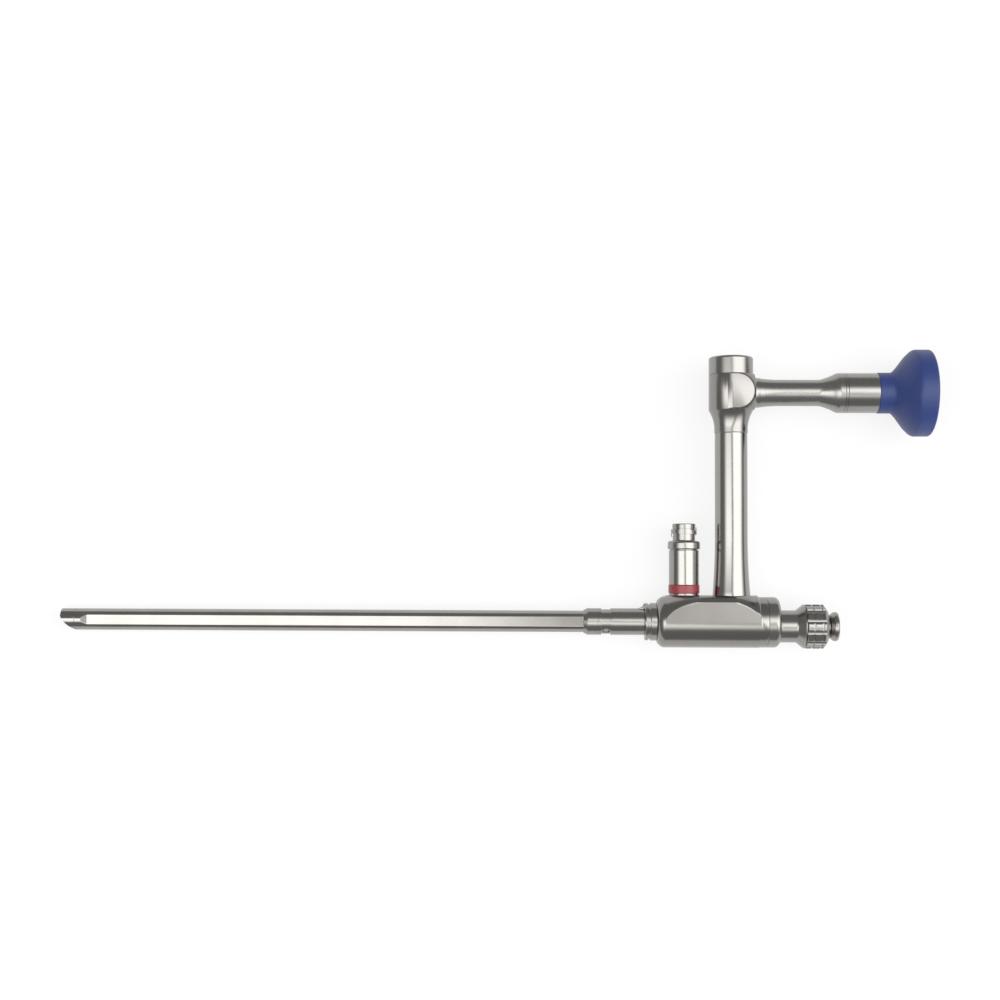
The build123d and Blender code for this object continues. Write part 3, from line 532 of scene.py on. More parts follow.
class Shader:
    """Tree of a material or of the world, while it is being written."""

    def __init__(self, tree: bpy.types.NodeTree) -> None:
        """Start with an empty tree."""
        self.tree = tree
        tree.nodes.clear()

    def node(self, kind: str, settings: dict[str, Any] | None = None,
             sockets: dict[Any, Any] | None = None) -> bpy.types.Node:
        """Add any node.

        Args:
            kind: Its type.
            settings: Properties, set first; stops are a ramp's places and colours.
            sockets: Values or links of its inputs, by name or number.

        Returns:
            The node.
        """
        node = self.tree.nodes.new(kind)
        for name, value in (settings or {}).items():
            if name == "stops":
                elements = node.color_ramp.elements
                while len(elements) < len(value):
                    elements.new(0.5)
                for element, (place, colour) in zip(elements, value):
                    element.position = place
                    element.color = colour
            else:
                setattr(node, name, value)
        for name, value in (sockets or {}).items():
            if isinstance(value, Value):
                self.tree.links.new(value.socket, node.inputs[name])
            elif isinstance(value, bpy.types.NodeSocket):
                self.tree.links.new(value, node.inputs[name])
            else:
                node.inputs[name].default_value = value
        return node

    def value(self, node: bpy.types.Node, output: Any = 0) -> Value:
        """Output of a node, for arithmetic."""
        return Value(self.tree, node.outputs[output])

    def place(self) -> bpy.types.NodeSocket:
        """Place on the object in the drawing's frame, in millimetres."""
        coordinates = self.node("ShaderNodeTexCoord")
        turned = self.node("ShaderNodeMapping", {"vector_type": "POINT"}, {
            "Vector": coordinates.outputs["Object"],
            "Rotation": REST.inverted().to_euler(),
            "Scale": (1.0, 1.0, 1.0),
        })
        scaled = self.node("ShaderNodeVectorMath", {"operation": "SCALE"},
                           {0: turned.outputs[0], "Scale": 1000.0})
        return scaled.outputs[0]

    def noise(self, place: bpy.types.NodeSocket, stretch: Point, detail: float = 2.0) -> Value:
        """Soft noise, stretched differently along each direction.

        Args:
            place: Where on the surface, in millimetres.
            stretch: Waves in each millimetre along X, Y and Z.
            detail: Finer layers.

        Returns:
            Noise about 0.5.
        """
        stretched = self.node("ShaderNodeVectorMath", {"operation": "MULTIPLY"}, {0: place, 1: stretch})
        noise = self.node("ShaderNodeTexNoise", {"noise_dimensions": "3D"},
                          {"Vector": stretched.outputs[0], "Scale": 1.0, "Detail": detail})
        return self.value(noise)

    def blend(self, factor: Value, a: Sequence[float], b: Sequence[float]) -> bpy.types.NodeSocket:
        """Colour between two colours.

        Args:
            factor: 0 for the first, 1 for the second.
            a: First colour.
            b: Second colour.

        Returns:
            The mixed colour.
        """
        mix = self.node("ShaderNodeMix", {"data_type": "RGBA"},
                        {0: factor, 6: (*a, 1.0), 7: (*b, 1.0)})
        return mix.outputs[2]

    def bump(self, height: Value, depth: float, strength: float = 1.0) -> bpy.types.NodeSocket:
        """Normal of a relief.

        Args:
            height: Relief from 0 to 1.
            depth: Its full depth, in millimetres.
            strength: Share of it that shows.

        Returns:
            The normal.
        """
        node = self.node("ShaderNodeBump", None, {"Strength": strength, "Distance": depth / 1000,
                                                  "Height": height})
        return node.outputs[0]

    def output(self, shader: bpy.types.Node) -> None:
        """Show the surface.

        Args:
            shader: The last shader node.
        """
        self.node("ShaderNodeOutputMaterial", None, {"Surface": shader.outputs[0]})


def new_material(name: str) -> tuple[bpy.types.Material, Shader]:
    """Make an empty material.

    Args:
        name: Its name.

    Returns:
        The material and its tree.
    """
    material = bpy.data.materials.new(name)
    material.use_nodes = True
    return material, Shader(material.node_tree)


@dataclass(frozen=True)
class Steel:
    """Stainless steel, worked in one way."""

    name: str
    colour: Point
    roughness: float
    grain: Grain
    grain_depth: float = 0.004
    grain_spread: float = 0.08
    cloud: float = 0.05

    def material(self) -> bpy.types.Material:
        """Write the finish.

        Returns:
            The material.
        """
        material, shader = new_material(self.name)
        place = shader.place()
        lines = shader.noise(place, self.grain.value, 3.0)
        clouds = shader.noise(place, (0.11, 0.11, 0.11), 3.0)
        wipes = shader.noise(place, tuple(0.35 * wave for wave in self.grain.value), 2.0)
        light = tuple(channel * (1 + self.cloud) for channel in self.colour)
        dark = tuple(channel * (1 - self.cloud) for channel in self.colour)
        tint = (0.6 * clouds + 0.4 * wipes).ramp(0.32, 0.68)
        roughness = (self.roughness + (lines - 0.5) * self.grain_spread
                     + (clouds - 0.5) * 0.6 * self.grain_spread)
        surface = shader.node("ShaderNodeBsdfPrincipled", None, {
            "Base Color": shader.blend(tint, dark, light),
            "Metallic": 1.0,
            "Roughness": roughness,
            "Normal": shader.bump(lines, self.grain_depth, 0.6),
        })
        shader.output(surface)
        return material


@dataclass(frozen=True)
class Moulded:
    """Moulded plastic or rubber with a fine satin skin."""

    name: str
    colour: Point
    shade: Point
    roughness: float
    skin_depth: float = 0.01
    coat: float = 0.0

    def material(self) -> bpy.types.Material:
        """Write the finish.

        Returns:
            The material.
        """
        material, shader = new_material(self.name)
        place = shader.place()
        skin = shader.noise(place, (3.2, 3.2, 3.2), 4.0)
        clouds = shader.noise(place, (0.09, 0.09, 0.09), 3.0)
        surface = shader.node("ShaderNodeBsdfPrincipled", None, {
            "Base Color": shader.blend(clouds.ramp(0.3, 0.7), self.shade, self.colour),
            "Roughness": self.roughness + (skin - 0.5) * 0.12 + (clouds - 0.5) * 0.08,
            "Coat Weight": self.coat,
            "Coat Roughness": 0.25,
            "Normal": shader.bump(skin, self.skin_depth, 0.5),
        })
        shader.output(surface)
        return material


@dataclass(frozen=True)
class Glass:
    """Polished optical glass with a faint coating."""

    name: str
    colour: Point
    coating: Point

    def material(self) -> bpy.types.Material:
        """Write the finish.

        Returns:
            The material.
        """
        material, shader = new_material(self.name)
        clouds = shader.noise(shader.place(), (0.4, 0.4, 0.4), 2.0)
        surface = shader.node("ShaderNodeBsdfPrincipled", None, {
            "Base Color": shader.blend(clouds.ramp(0.35, 0.65), self.colour, self.coating),
            "Roughness": 0.03,
            "Transmission Weight": 0.92,
            "IOR": 1.52,
        })
        shader.output(surface)
        return material


@dataclass(frozen=True)
class Fibres:
    """Polished ends of thousands of cemented glass fibres."""

    name: str
    colour: Point
    cement: Point

    def material(self) -> bpy.types.Material:
        """Write the finish.

        Returns:
            The material.
        """
        material, shader = new_material(self.name)
        scaled = shader.node("ShaderNodeVectorMath", {"operation": "SCALE"},
                             {0: shader.place(), "Scale": 14.0})
        cells = shader.node("ShaderNodeTexVoronoi", {"feature": "DISTANCE_TO_EDGE"},
                            {"Vector": scaled.outputs[0], "Scale": 1.0})
        core = shader.value(cells, "Distance").ramp(0.04, 0.16)
        surface = shader.node("ShaderNodeBsdfPrincipled", None, {
            "Base Color": shader.blend(core, self.cement, self.colour),
            "Roughness": 0.28 - 0.16 * core,
            "Coat Weight": 0.4,
            "Normal": shader.bump(core, 0.004, 0.4),
        })
        shader.output(surface)
        return material


@dataclass(frozen=True)
class Finishes:
    """Every finish of the instrument."""

    polished: Steel = Steel("steel polished", (0.33, 0.32, 0.305), 0.13, Grain.ALONG_SHAFT, 0.0005, 0.04)
    body: Steel = Steel("steel satin body", (0.29, 0.28, 0.268), 0.21, Grain.BLASTED, 0.0015, 0.04, 0.02)
    turned_x: Steel = Steel("steel satin turned x", (0.32, 0.31, 0.297), 0.23, Grain.AROUND_SHAFT,
                            0.0004, 0.03, 0.02)
    turned_y: Steel = Steel("steel satin turned y", (0.32, 0.31, 0.297), 0.23, Grain.AROUND_RISER,
                            0.0004, 0.03, 0.02)
    tube_x: Steel = Steel("steel tube x", (0.33, 0.32, 0.305), 0.27, Grain.AROUND_SHAFT, 0.0003, 0.03,
                          0.02)
    tube_y: Steel = Steel("steel tube y", (0.33, 0.32, 0.305), 0.17, Grain.AROUND_RISER, 0.0003, 0.03,
                          0.02)
    black: Steel = Steel("blackened metal", (0.035, 0.034, 0.033), 0.55, Grain.BLASTED, 0.01, 0.15, 0.2)
    blue: Moulded = Moulded("eyecup blue", (0.026, 0.05, 0.2), (0.023, 0.045, 0.182), 0.45)
    red: Moulded = Moulded("ring red", (0.32, 0.034, 0.046), (0.28, 0.028, 0.04), 0.35, 0.006, 0.15)
    rubber: Moulded = Moulded("seal rubber", (0.03, 0.03, 0.03), (0.02, 0.02, 0.02), 0.6, 0.02)
    lens: Glass = Glass("lens glass", (0.9, 0.93, 0.92), (0.84, 0.9, 0.93))
    window: Glass = Glass("window glass", (0.86, 0.9, 0.93), (0.8, 0.86, 0.92))
    fibres: Fibres = Fibres("light fibres", (0.82, 0.8, 0.68), (0.2, 0.17, 0.1))

    def made(self) -> dict[str, bpy.types.Material]:
        """Write all the materials.

        Returns:
            Material by field name.
        """
        return {name: getattr(self, name).material() for name in self.__dataclass_fields__}


Stock = dict[str, bpy.types.Material]


# Sub-assemblies


@dataclass(frozen=True)
class Shaft:
    """Outer tube with two side flats, and the slanted tip."""

    radius: float = 3.975
    flat: float = 3.55
    wall: float = 0.3
    tip: float = -215.0
    joint: float = -209.8
    back: float = -3.0
    facet_start: float = -207.6
    facet_end: float = -205.0
    bevel_length: float = 5.5
    bevel_top: float = 1.2
    bevel_bulge: float = 0.65
    channel_y: float = -1.475
    channel_hole: float = 2.07
    optic_y: float = 2.125
    optic_hole: float = 1.42
    outlet: float = 0.65
    outlet_y: float = 1.35
    outlet_z: float = 2.43

    def half_flat(self, x: float) -> float:
        """Distance of the side flat from the axis at one place."""
        share = (x - self.facet_start) / (self.facet_end - self.facet_start)
        deepest = self.radius - 0.004
        return deepest + (self.flat - deepest) * min(1.0, max(0.0, share))

    def ring(self, x: float, radius: float, flat: float) -> list[Point]:
        """Section of the flattened tube, with its points gathered at the edges of the flats.

        Args:
            x: Place along the shaft.
            radius: Radius of the round part.
            flat: Distance of the flats from the axis.

        Returns:
            Points round the section.
        """
        edge = math.asin(flat / radius)
        soft = min(0.03, 0.4 * (math.pi / 2 - edge))
        angles = [edge * k / 14 for k in range(14)] + [edge - soft, edge, edge + soft]
        angles += [edge + soft + (math.pi / 2 - edge - soft) * k / 8 for k in range(1, 9)]
        quarter = []
        for angle in sorted(set(angles)):
            reach = min(radius, flat / max(1e-9, math.sin(angle)))
            quarter.append((reach * math.cos(angle), reach * math.sin(angle)))
        top = quarter + [(-y, z) for y, z in quarter[-2::-1]]
        whole = top + [(y, -z) for y, z in top[-2:0:-1]]
        return [(x, y, z) for y, z in whole]

    def tube(self, stock: Stock) -> Form:
        """Long outer tube, with a wall and an open front.

        Args:
            stock: Materials.

        Returns:
            The piece.
        """
        rings = [self.ring(self.joint + 3, self.radius - self.wall, self.radius - self.wall - 0.01),
                 self.ring(self.joint, self.radius - self.wall, self.radius - self.wall - 0.01)]
        places = [(self.joint, 0.1), (self.joint + 0.06, 0.02), (self.joint + 0.12, 0.0)]
        places += [(self.joint + 0.5, 0.0), (self.facet_start - 0.1, 0.0)]
        places += [(self.facet_start + k * (self.facet_end - self.facet_start) / 10, 0.0)
                   for k in range(11)]
        places += [(self.facet_end + 0.1, 0.0)]
        places += [(self.facet_end + 1 + k * (self.back - self.facet_end - 1) / 60, 0.0)
                   for k in range(61)]
        rings += [self.ring(x, self.radius - drop, self.half_flat(x) - drop) for x, drop in places]
        return Form.lofted("outer_tube", rings).done(stock["polished"], "steel_polished",
                                                     ["shaft_tube"])

    def nose(self, stock: Stock) -> Form:
        """Slanted tip with its holes for the channel, the optic and the two light outlets.

        Args:
            stock: Materials.

        Returns:
            The piece.
        """
        back = self.joint + 3
        inner = self.radius - self.wall - 0.03
        outline = rounded([(self.tip, 0, 0), (self.tip, self.radius, 0.06), (self.joint, self.radius, 0.1),
                           (self.joint, inner, 0), (back, inner, 0), (back, 0, 0)], 2)
        nose = Form.turned("tip_nose", outline, Turning.SHAFT, segments=160)
        low = Vector((self.tip + self.bevel_length, -self.radius))
        high = Vector((self.tip, self.bevel_top))
        chord = low - high
        half = chord.length / 2
        radius = (half**2 + self.bevel_bulge**2) / (2 * self.bevel_bulge)
        away = Vector((chord.y, -chord.x)).normalized()
        centre = (low + high) / 2 - away * (radius - self.bevel_bulge)
        reach = math.asin(half / radius)
        face = []
        for step in range(25):
            turn = reach * (2 * step / 24 - 1)
            face.append(centre + radius * (math.cos(turn) * away + math.sin(turn) * chord.normalized()))
        if (face[0] - high).length > (face[-1] - high).length:
            face.reverse()
        waste = [tuple(point) for point in face]
        waste += [(low.x, -8.0), (self.tip - 6, -8.0), (self.tip - 6, 8.0), (self.tip, 8.0)]
        nose.combined(Form.prism("bevel waste", waste, -8, 8), "DIFFERENCE")
        for y, z, hole in ((self.channel_y, 0.0, self.channel_hole), (self.optic_y, 0.0, self.optic_hole),
                           (self.outlet_y, self.outlet_z, self.outlet),
                           (self.outlet_y, -self.outlet_z, self.outlet)):
            drill = Form.turned("drill", [(self.tip - 1, 0), (self.tip - 1, hole), (back + 1, hole),
                                          (back + 1, 0)], Turning.SHAFT, y, 64)
            nose.combined(drill.moved(Matrix.Translation((0, 0, z))), "DIFFERENCE")
        return nose.done(stock["polished"], "steel_polished", ["distal_tip"], sharp=25)

    def build(self, stock: Stock) -> list[Form]:
        """Make the shaft."""
        return [self.nose(stock), self.tube(stock)]


@dataclass(frozen=True)
class Coupling:
    """Sleeve that a sheath slides over, and the flange that it stops against."""

    nose: float = -22.5
    nose_radius: float = 4.15
    land: float = 4.9
    land_start: float = -21.0
    groove_start: float = -15.9
    groove_end: float = -12.5
    groove_radius: float = 4.5
    notch: float = 1.3
    notch_floor: float = 4.0
    notch_angle: float = 50.0
    key_length: float = 2.6
    key_height: float = 6.7
    key_width: float = 3.2
    key_front: tuple[Pair, ...] = ((-1.7, 5.06), (-1.0, 5.42), (-0.5, 5.98))
    line_start: float = -17.3
    line_width: float = 0.25
    line_depth: float = 0.07
    inner: float = 3.7
    flange_inner: float = 3.9
    disc: float = 6.85
    disc_end: float = 1.1
    gap: float = 6.6
    gap_end: float = 2.0
    ring: float = 6.93
    ring_end: float = 4.3

    def sleeve(self, stock: Stock) -> Form:
        """Turned sleeve with its bayonet groove, notches and key.

        Args:
            stock: Materials.

        Returns:
            The piece.
        """
        start, end = self.line_start, self.line_start + self.line_width
        floor = self.land - self.line_depth
        outline = rounded([
            (self.nose, self.inner, 0), (self.nose, self.nose_radius, 0.12),
            (self.land_start, self.land, 0.15), (start, self.land, 0.02), (start + 0.05, floor, 0.02),
            (end - 0.05, floor, 0.02), (end, self.land, 0.02),
            (self.groove_start, self.land, 0.08), (self.groove_start, self.groove_radius, 0.06),
            (self.groove_end, self.groove_radius, 0.06), (self.groove_end, self.land, 0.08),
            (-0.35, self.land, 0.1), (-0.2, self.land - 0.1, 0.02), (0.0, self.land - 0.1, 0),
            (0.0, self.inner, 0)])
        sleeve = Form.turned("sleeve", outline, Turning.SHAFT, closed=True, segments=160)
        for side in (1, -1):
            cutter = Form.turned("cutter", [(self.notch_floor, 0), (self.notch_floor, self.notch),
                                            (self.land + 1, self.notch), (self.land + 1, 0)],
                                 Turning.RISER, 0.0, 48)
            place = Matrix.Translation(((self.groove_start + self.groove_end) / 2, 0, 0))
            turn = Matrix.Rotation(math.radians(side * (90 + self.notch_angle)), 4, "X")
            sleeve.combined(cutter.moved(place @ turn), "DIFFERENCE")
        key = Form.prism("key", [(-self.key_length, self.land - 0.3), (-self.key_length, self.land - 0.02),
                                 *self.key_front, (-0.2, self.key_height),
                                 (-0.02, self.key_height), (-0.02, self.land - 0.3)],
                         -self.key_width / 2, self.key_width / 2)
        sleeve.joined(key.softened(0.12, 2))
        return sleeve.done(stock["turned_x"], "steel_satin", ["coupling_sleeve"], sharp=30)

    def flange(self, stock: Stock) -> Form:
        """Flange in front of the body: a disc, a fine gap and a broad ring.

        Args:
            stock: Materials.

        Returns:
            The piece.
        """
        outline = rounded([
            (0, self.flange_inner, 0), (0, self.disc, 0.3), (self.disc_end, self.disc, 0.25),
            (self.disc_end, self.gap - 0.1, 0.08), (self.gap_end, self.gap - 0.1, 0.08),
            (self.gap_end, self.ring, 0.28), (self.ring_end - 0.15, self.ring, 0.08),
            (self.ring_end, self.ring - 0.14, 0.03), (self.ring_end + 0.3, self.ring - 0.14, 0),
            (self.ring_end + 0.3, self.flange_inner, 0)])
        flange = Form.turned("flange", outline, Turning.SHAFT, closed=True, segments=176)
        return flange.done(stock["turned_x"], "steel_satin", ["front_flange"])

    def build(self, stock: Stock) -> list[Form]:
        """Make the coupling."""
        return [self.sleeve(stock), self.flange(stock)]


@dataclass(frozen=True)
class Body:
    """Machined body: round below, flat on both sides, crowned on top, with swept shoulders."""

    low_radius: float = 9.4
    top: float = 9.8
    top_flat: float = 6.0
    shoulder: float = 3.584
    corner_y: float = 7.35
    corner_soft: float = 0.22
    envelope: float = 12.4
    envelope_start: float = 20.5
    envelope_end: float = 31.2
    trim_gap: float = 0.05
    nose: tuple[Pair, ...] = ((4.3, 7.1), (5.08, 8.37))
    nose_end: float = 7.2
    front_shoulder: tuple[Pair, ...] = ((9.99, 10.35), (13.85, 11.34))
    rear_shoulder: tuple[Pair, ...] = ((36.08, 11.3), (39.47, 10.2))
    shoulder_end: float = 41.5
    groove: tuple[Pair, ...] = ((41.9, 9.27), (42.05, 9.27), (44.3, 9.27), (44.42, 9.22), (44.5, 9.12))

    def trim_outline(self) -> list[Pair]:
        """Turned envelope, from front to back."""
        low = self.low_radius + self.trim_gap
        start, end = self.envelope_start, self.envelope_end
        nose = swept([*self.nose, (self.nose_end, low)], (0.25, 1), (1, 0.1), 12)
        front = swept([(self.nose_end, low), *self.front_shoulder, (start, self.envelope)], (1, 0.3),
                      (1, 0.15), 16)
        rear = swept([(end, self.envelope), *self.rear_shoulder, (self.shoulder_end, low)], (1, -0.2),
                     (0.5, -1), 16)
        flat = [(start + (end - start) * k / 8, self.envelope) for k in range(1, 8)]
        tail = [(self.shoulder_end + 0.12, low - 0.03), *self.groove]
        return nose[:-1] + front + flat + rear + tail

    def crown_reach(self, angle: float) -> float:
        """Distance from the axis to the level top or its shoulder, at an angle from straight up."""
        if angle > math.atan2(self.low_radius, self.corner_y):
            return self.envelope
        if math.tan(angle) * self.top <= self.top_flat:
            return self.top / math.cos(angle)
        y, z = self.top - self.shoulder, self.top_flat
        along = y * math.cos(angle) + z * math.sin(angle)
        return along + math.sqrt(max(0.0, self.shoulder**2 - y * y - z * z + along**2))

    def limits(self, trim: float) -> Pair:
        """Angles between which the envelope cuts the corner.

        Args:
            trim: Radius of the envelope.

        Returns:
            Angle where the crown ends and angle where the side begins.
        """
        corner = math.atan2(self.low_radius, self.corner_y)
        soft = self.corner_soft / math.hypot(self.low_radius, self.corner_y)
        low, high = 0.0, corner
        if self.crown_reach(0.0) >= trim:
            first = 0.02
        else:
            for _ in range(40):
                middle = (low + high) / 2
                low, high = (middle, high) if self.crown_reach(middle) < trim else (low, middle)
            first = low
        last = math.asin(min(1.0, self.low_radius / trim))
        first = min(first, corner - soft)
        last = min(max(last, corner + soft), math.pi / 2 - 0.01)
        return first, last

    def ring(self, x: float, trim: float) -> list[Point]:
        """Section of the body at one place.

        Args:
            x: Place along the shaft.
            trim: Radius of the envelope there.

        Returns:
            Points round the section.
        """
        first, last = self.limits(trim)
        angles = [first * k / 28 for k in range(28)]
        angles += [first + (last - first) * k / 14 for k in range(15)]
        angles += [last + (math.pi / 2 - last) * k / 16 for k in range(1, 17)]
        half = []
        for number, angle in enumerate(angles):
            reach = min(trim, self.crown_reach(angle))
            if angle > 1e-6:
                reach = min(reach, self.low_radius / math.sin(angle))
            half.append((angle, reach))
        half += [(math.pi / 2 + math.pi / 2 * k / 30, min(self.low_radius, trim)) for k in range(1, 31)]
        right = [(x, reach * math.cos(angle), reach * math.sin(angle)) for angle, reach in half]
        left = [(x, y, -z) for _, y, z in right[-2:0:-1]]
        return right + left

    def build(self, stock: Stock) -> list[Form]:
        """Make the body.

        Args:
            stock: Materials.

        Returns:
            The pieces.
        """
        rings = [self.ring(x, trim) for x, trim in self.trim_outline()]
        body = Form.lofted("body_block", rings)
        return [body.done(stock["body"], "steel_satin", ["main_body"], sharp=50)]


@dataclass(frozen=True)
class Port:
    """Rear cap, neck and funnel of the working channel, with the fluted locking ring."""

    axis: float = -1.475
    cap_front: float = 44.5
    cap_back: float = 49.2
    cap_radius: float = 9.27
    cap_round: float = 2.4
    neck: float = 5.9
    flare_start: float = 55.3
    shoulder: float = 8.05
    shoulder_end: float = 58.3
    journal: float = 5.0
    journal_end: float = 66.3
    bore: float = 1.85
    ring_front: float = 58.6
    ring_back: float = 66.7
    ring_radius: float = 8.06
    ring_bore: float = 5.05
    grooves: Pair = (61.1, 64.2)
    flutes: int = 12
    flute_radius: float = 1.41
    flute_depth: float = 0.55
    first_flute: float = 15.0
    stem: float = 4.05
    stem_end: float = 67.3
    mouth: float = 5.4
    flare_end: float = 69.3
    mouth_end: float = 70.6
    funnel_seat: float = 3.4
    funnel_depth: float = 2.6
    groove_width: float = 0.56
    groove_depth: float = 0.45
    weld: float = 0.002

    def cap(self, stock: Stock) -> Form:
        """Rounded rear cap of the body.

        Args:
            stock: Materials.

        Returns:
            The piece.
        """
        outline = rounded([
            (self.cap_front, 0, 0), (self.cap_front, self.cap_radius - 0.12, 0.02),
            (self.cap_front + 0.12, self.cap_radius, 0.05), (self.cap_back, self.cap_radius, self.cap_round),
            (self.cap_back, 0, 0)], 12)
        cap = Form.turned("end_cap", outline, Turning.SHAFT, segments=176)
        return cap.done(stock["turned_x"], "steel_satin", ["rear_cap"])

    def waist(self, stock: Stock) -> Form:
        """Neck with its flared shoulder, and the journal inside the ring.

        Args:
            stock: Materials.

        Returns:
            The piece.
        """
        outer = rounded([
            (self.cap_back - 0.4, self.bore, 0), (self.cap_back - 0.4, self.neck + 0.35, 0.05),
            (self.cap_back + 0.35, self.neck + 0.35, 0.15), (self.cap_back + 0.35, self.neck, 0.2),
            (self.flare_start, self.neck, 0.9), (self.shoulder_end - 0.45, self.shoulder - 0.15, 0.1),
            (self.shoulder_end - 0.3, self.shoulder, 0.1), (self.shoulder_end, self.shoulder, 0.08),
            (self.shoulder_end, self.journal, 0.05), (self.journal_end, self.journal, 0.1),
            (self.journal_end, self.bore, 0)], 5)
        waist = Form.turned("port_waist", outer, Turning.SHAFT, self.axis, closed=True)
        return waist.done(stock["turned_x"], "steel_satin", ["port_neck"])

    def funnel(self, stock: Stock) -> Form:
        """Flared mouth, with the inner cone that leads instruments to the bore.

        Args:
            stock: Materials.

        Returns:
            The piece.
        """
        outline = rounded([
            (self.journal_end - 1, self.bore, 0), (self.journal_end - 1, self.funnel_seat, 0),
            (self.journal_end, self.funnel_seat, 0), (self.journal_end, self.stem, 0.05),
            (self.stem_end, self.stem, 0.5), (self.flare_end - 0.25, self.mouth - 0.1, 0.35),
            (self.flare_end + 0.65, self.mouth, 0.3), (self.mouth_end, self.mouth - 0.35, 0.2),
            (self.mouth_end, self.mouth - 0.7, 0.12),
            (self.mouth_end - self.funnel_depth, self.bore, 0.3)], 5)
        funnel = Form.turned("funnel", outline, Turning.SHAFT, self.axis, closed=True, segments=128)
        return funnel.done(stock["turned_x"], "steel_satin", ["port_funnel"])

    def sector(self) -> Form:
        """One twelfth of the ring, centred on a flute at straight up.

        Returns:
            The piece, open at its two sides.
        """
        front, back, radius = self.ring_front, self.ring_back, self.ring_radius
        corners = [(front, self.ring_bore, 0), (front, radius - 0.3, 0.08), (front + 0.3, radius, 0.08)]
        half_width, floor = self.groove_width / 2, radius - self.groove_depth
        for place in self.grooves:
            corners += [(place - half_width, radius, 0.04), (place - half_width + 0.04, floor, 0.04),
                        (place + half_width - 0.04, floor, 0.04), (place + half_width, radius, 0.04)]
        corners += [(back - 1.5, radius, 0.25), (back - 0.3, radius - 1.5, 0.25),
                    (back, radius - 2.1, 0.15), (back, self.ring_bore, 0)]
        profile = rounded(corners, 3)
        distance = radius - self.flute_depth + self.flute_radius
        rim = math.acos((radius**2 + distance**2 - self.flute_radius**2) / (2 * radius * distance))
        step = math.pi / self.flutes
        soft = 0.012
        half = [rim * k / 8 for k in range(8)] + [rim - soft, rim, rim + soft]
        half += [rim + soft + (step - rim - soft) * k / 6 for k in range(1, 7)]
        angles = [-angle for angle in half[:0:-1]] + half
        points: list[Point] = []
        for x, r in profile:
            for angle in angles:
                reach = r
                if abs(angle) < rim:
                    inside = self.flute_radius**2 - (distance * math.sin(angle))**2
                    reach = min(r, distance * math.cos(angle) - math.sqrt(max(0.0, inside)))
                points.append((x, reach * math.cos(angle), reach * math.sin(angle)))
        count = len(angles)
        faces = []
        for row in range(len(profile)):
            following = (row + 1) % len(profile)
            for column in range(count - 1):
                faces.append([row * count + column, row * count + column + 1,
                              following * count + column + 1, following * count + column])
        return Form("ring sector", points, faces)

    def locking_ring(self, stock: Stock) -> Form:
        """Fluted ring, its sector repeated round the port by a node tree.

        Args:
            stock: Materials.

        Returns:
            The piece, which rides on the ring's own body.
        """
        tree = Tree("round_the_port", {"Copies": "NodeSocketInt", "Weld": "NodeSocketFloat",
                                       "Finish": "NodeSocketMaterial"})
        points = tree.node("GeometryNodePoints", {"Count": tree.given("Copies")})
        index = tree.node("GeometryNodeInputIndex")
        share = tree.maths("DIVIDE", index.outputs[0], tree.given("Copies"))
        angle = tree.maths("MULTIPLY", share, 2 * math.pi)
        turn = tree.node("ShaderNodeCombineXYZ", {"X": angle})
        copies = tree.node("GeometryNodeInstanceOnPoints", {
            "Points": points.outputs[0], "Instance": tree.given("Geometry"), "Rotation": turn.outputs[0]})
        real = tree.node("GeometryNodeRealizeInstances", {0: copies.outputs[0]})
        weld = tree.node("GeometryNodeMergeByDistance", {0: real.outputs[0],
                                                         "Distance": tree.given("Weld")})
        tree.close(weld.outputs[0])
        ring = self.sector()
        ring.worked(lambda thing: tree.attach(thing, {"Copies": self.flutes, "Weld": self.weld,
                                                      "Finish": stock["turned_x"]}))
        ring.thing.name = "grip_ring"
        ring.tidy(0.001)
        turned = Matrix.Rotation(math.radians(90 + self.first_flute), 4, "X")
        ring.moved(Matrix.Translation((0, self.axis, 0)) @ turned)
        return ring.done(stock["turned_x"], "steel_satin", ["locking_ring"], "ring", 45)

    def build(self, stock: Stock) -> list[Form]:
        """Make the port."""
        return [self.cap(stock), self.waist(stock), self.funnel(stock), self.locking_ring(stock)]


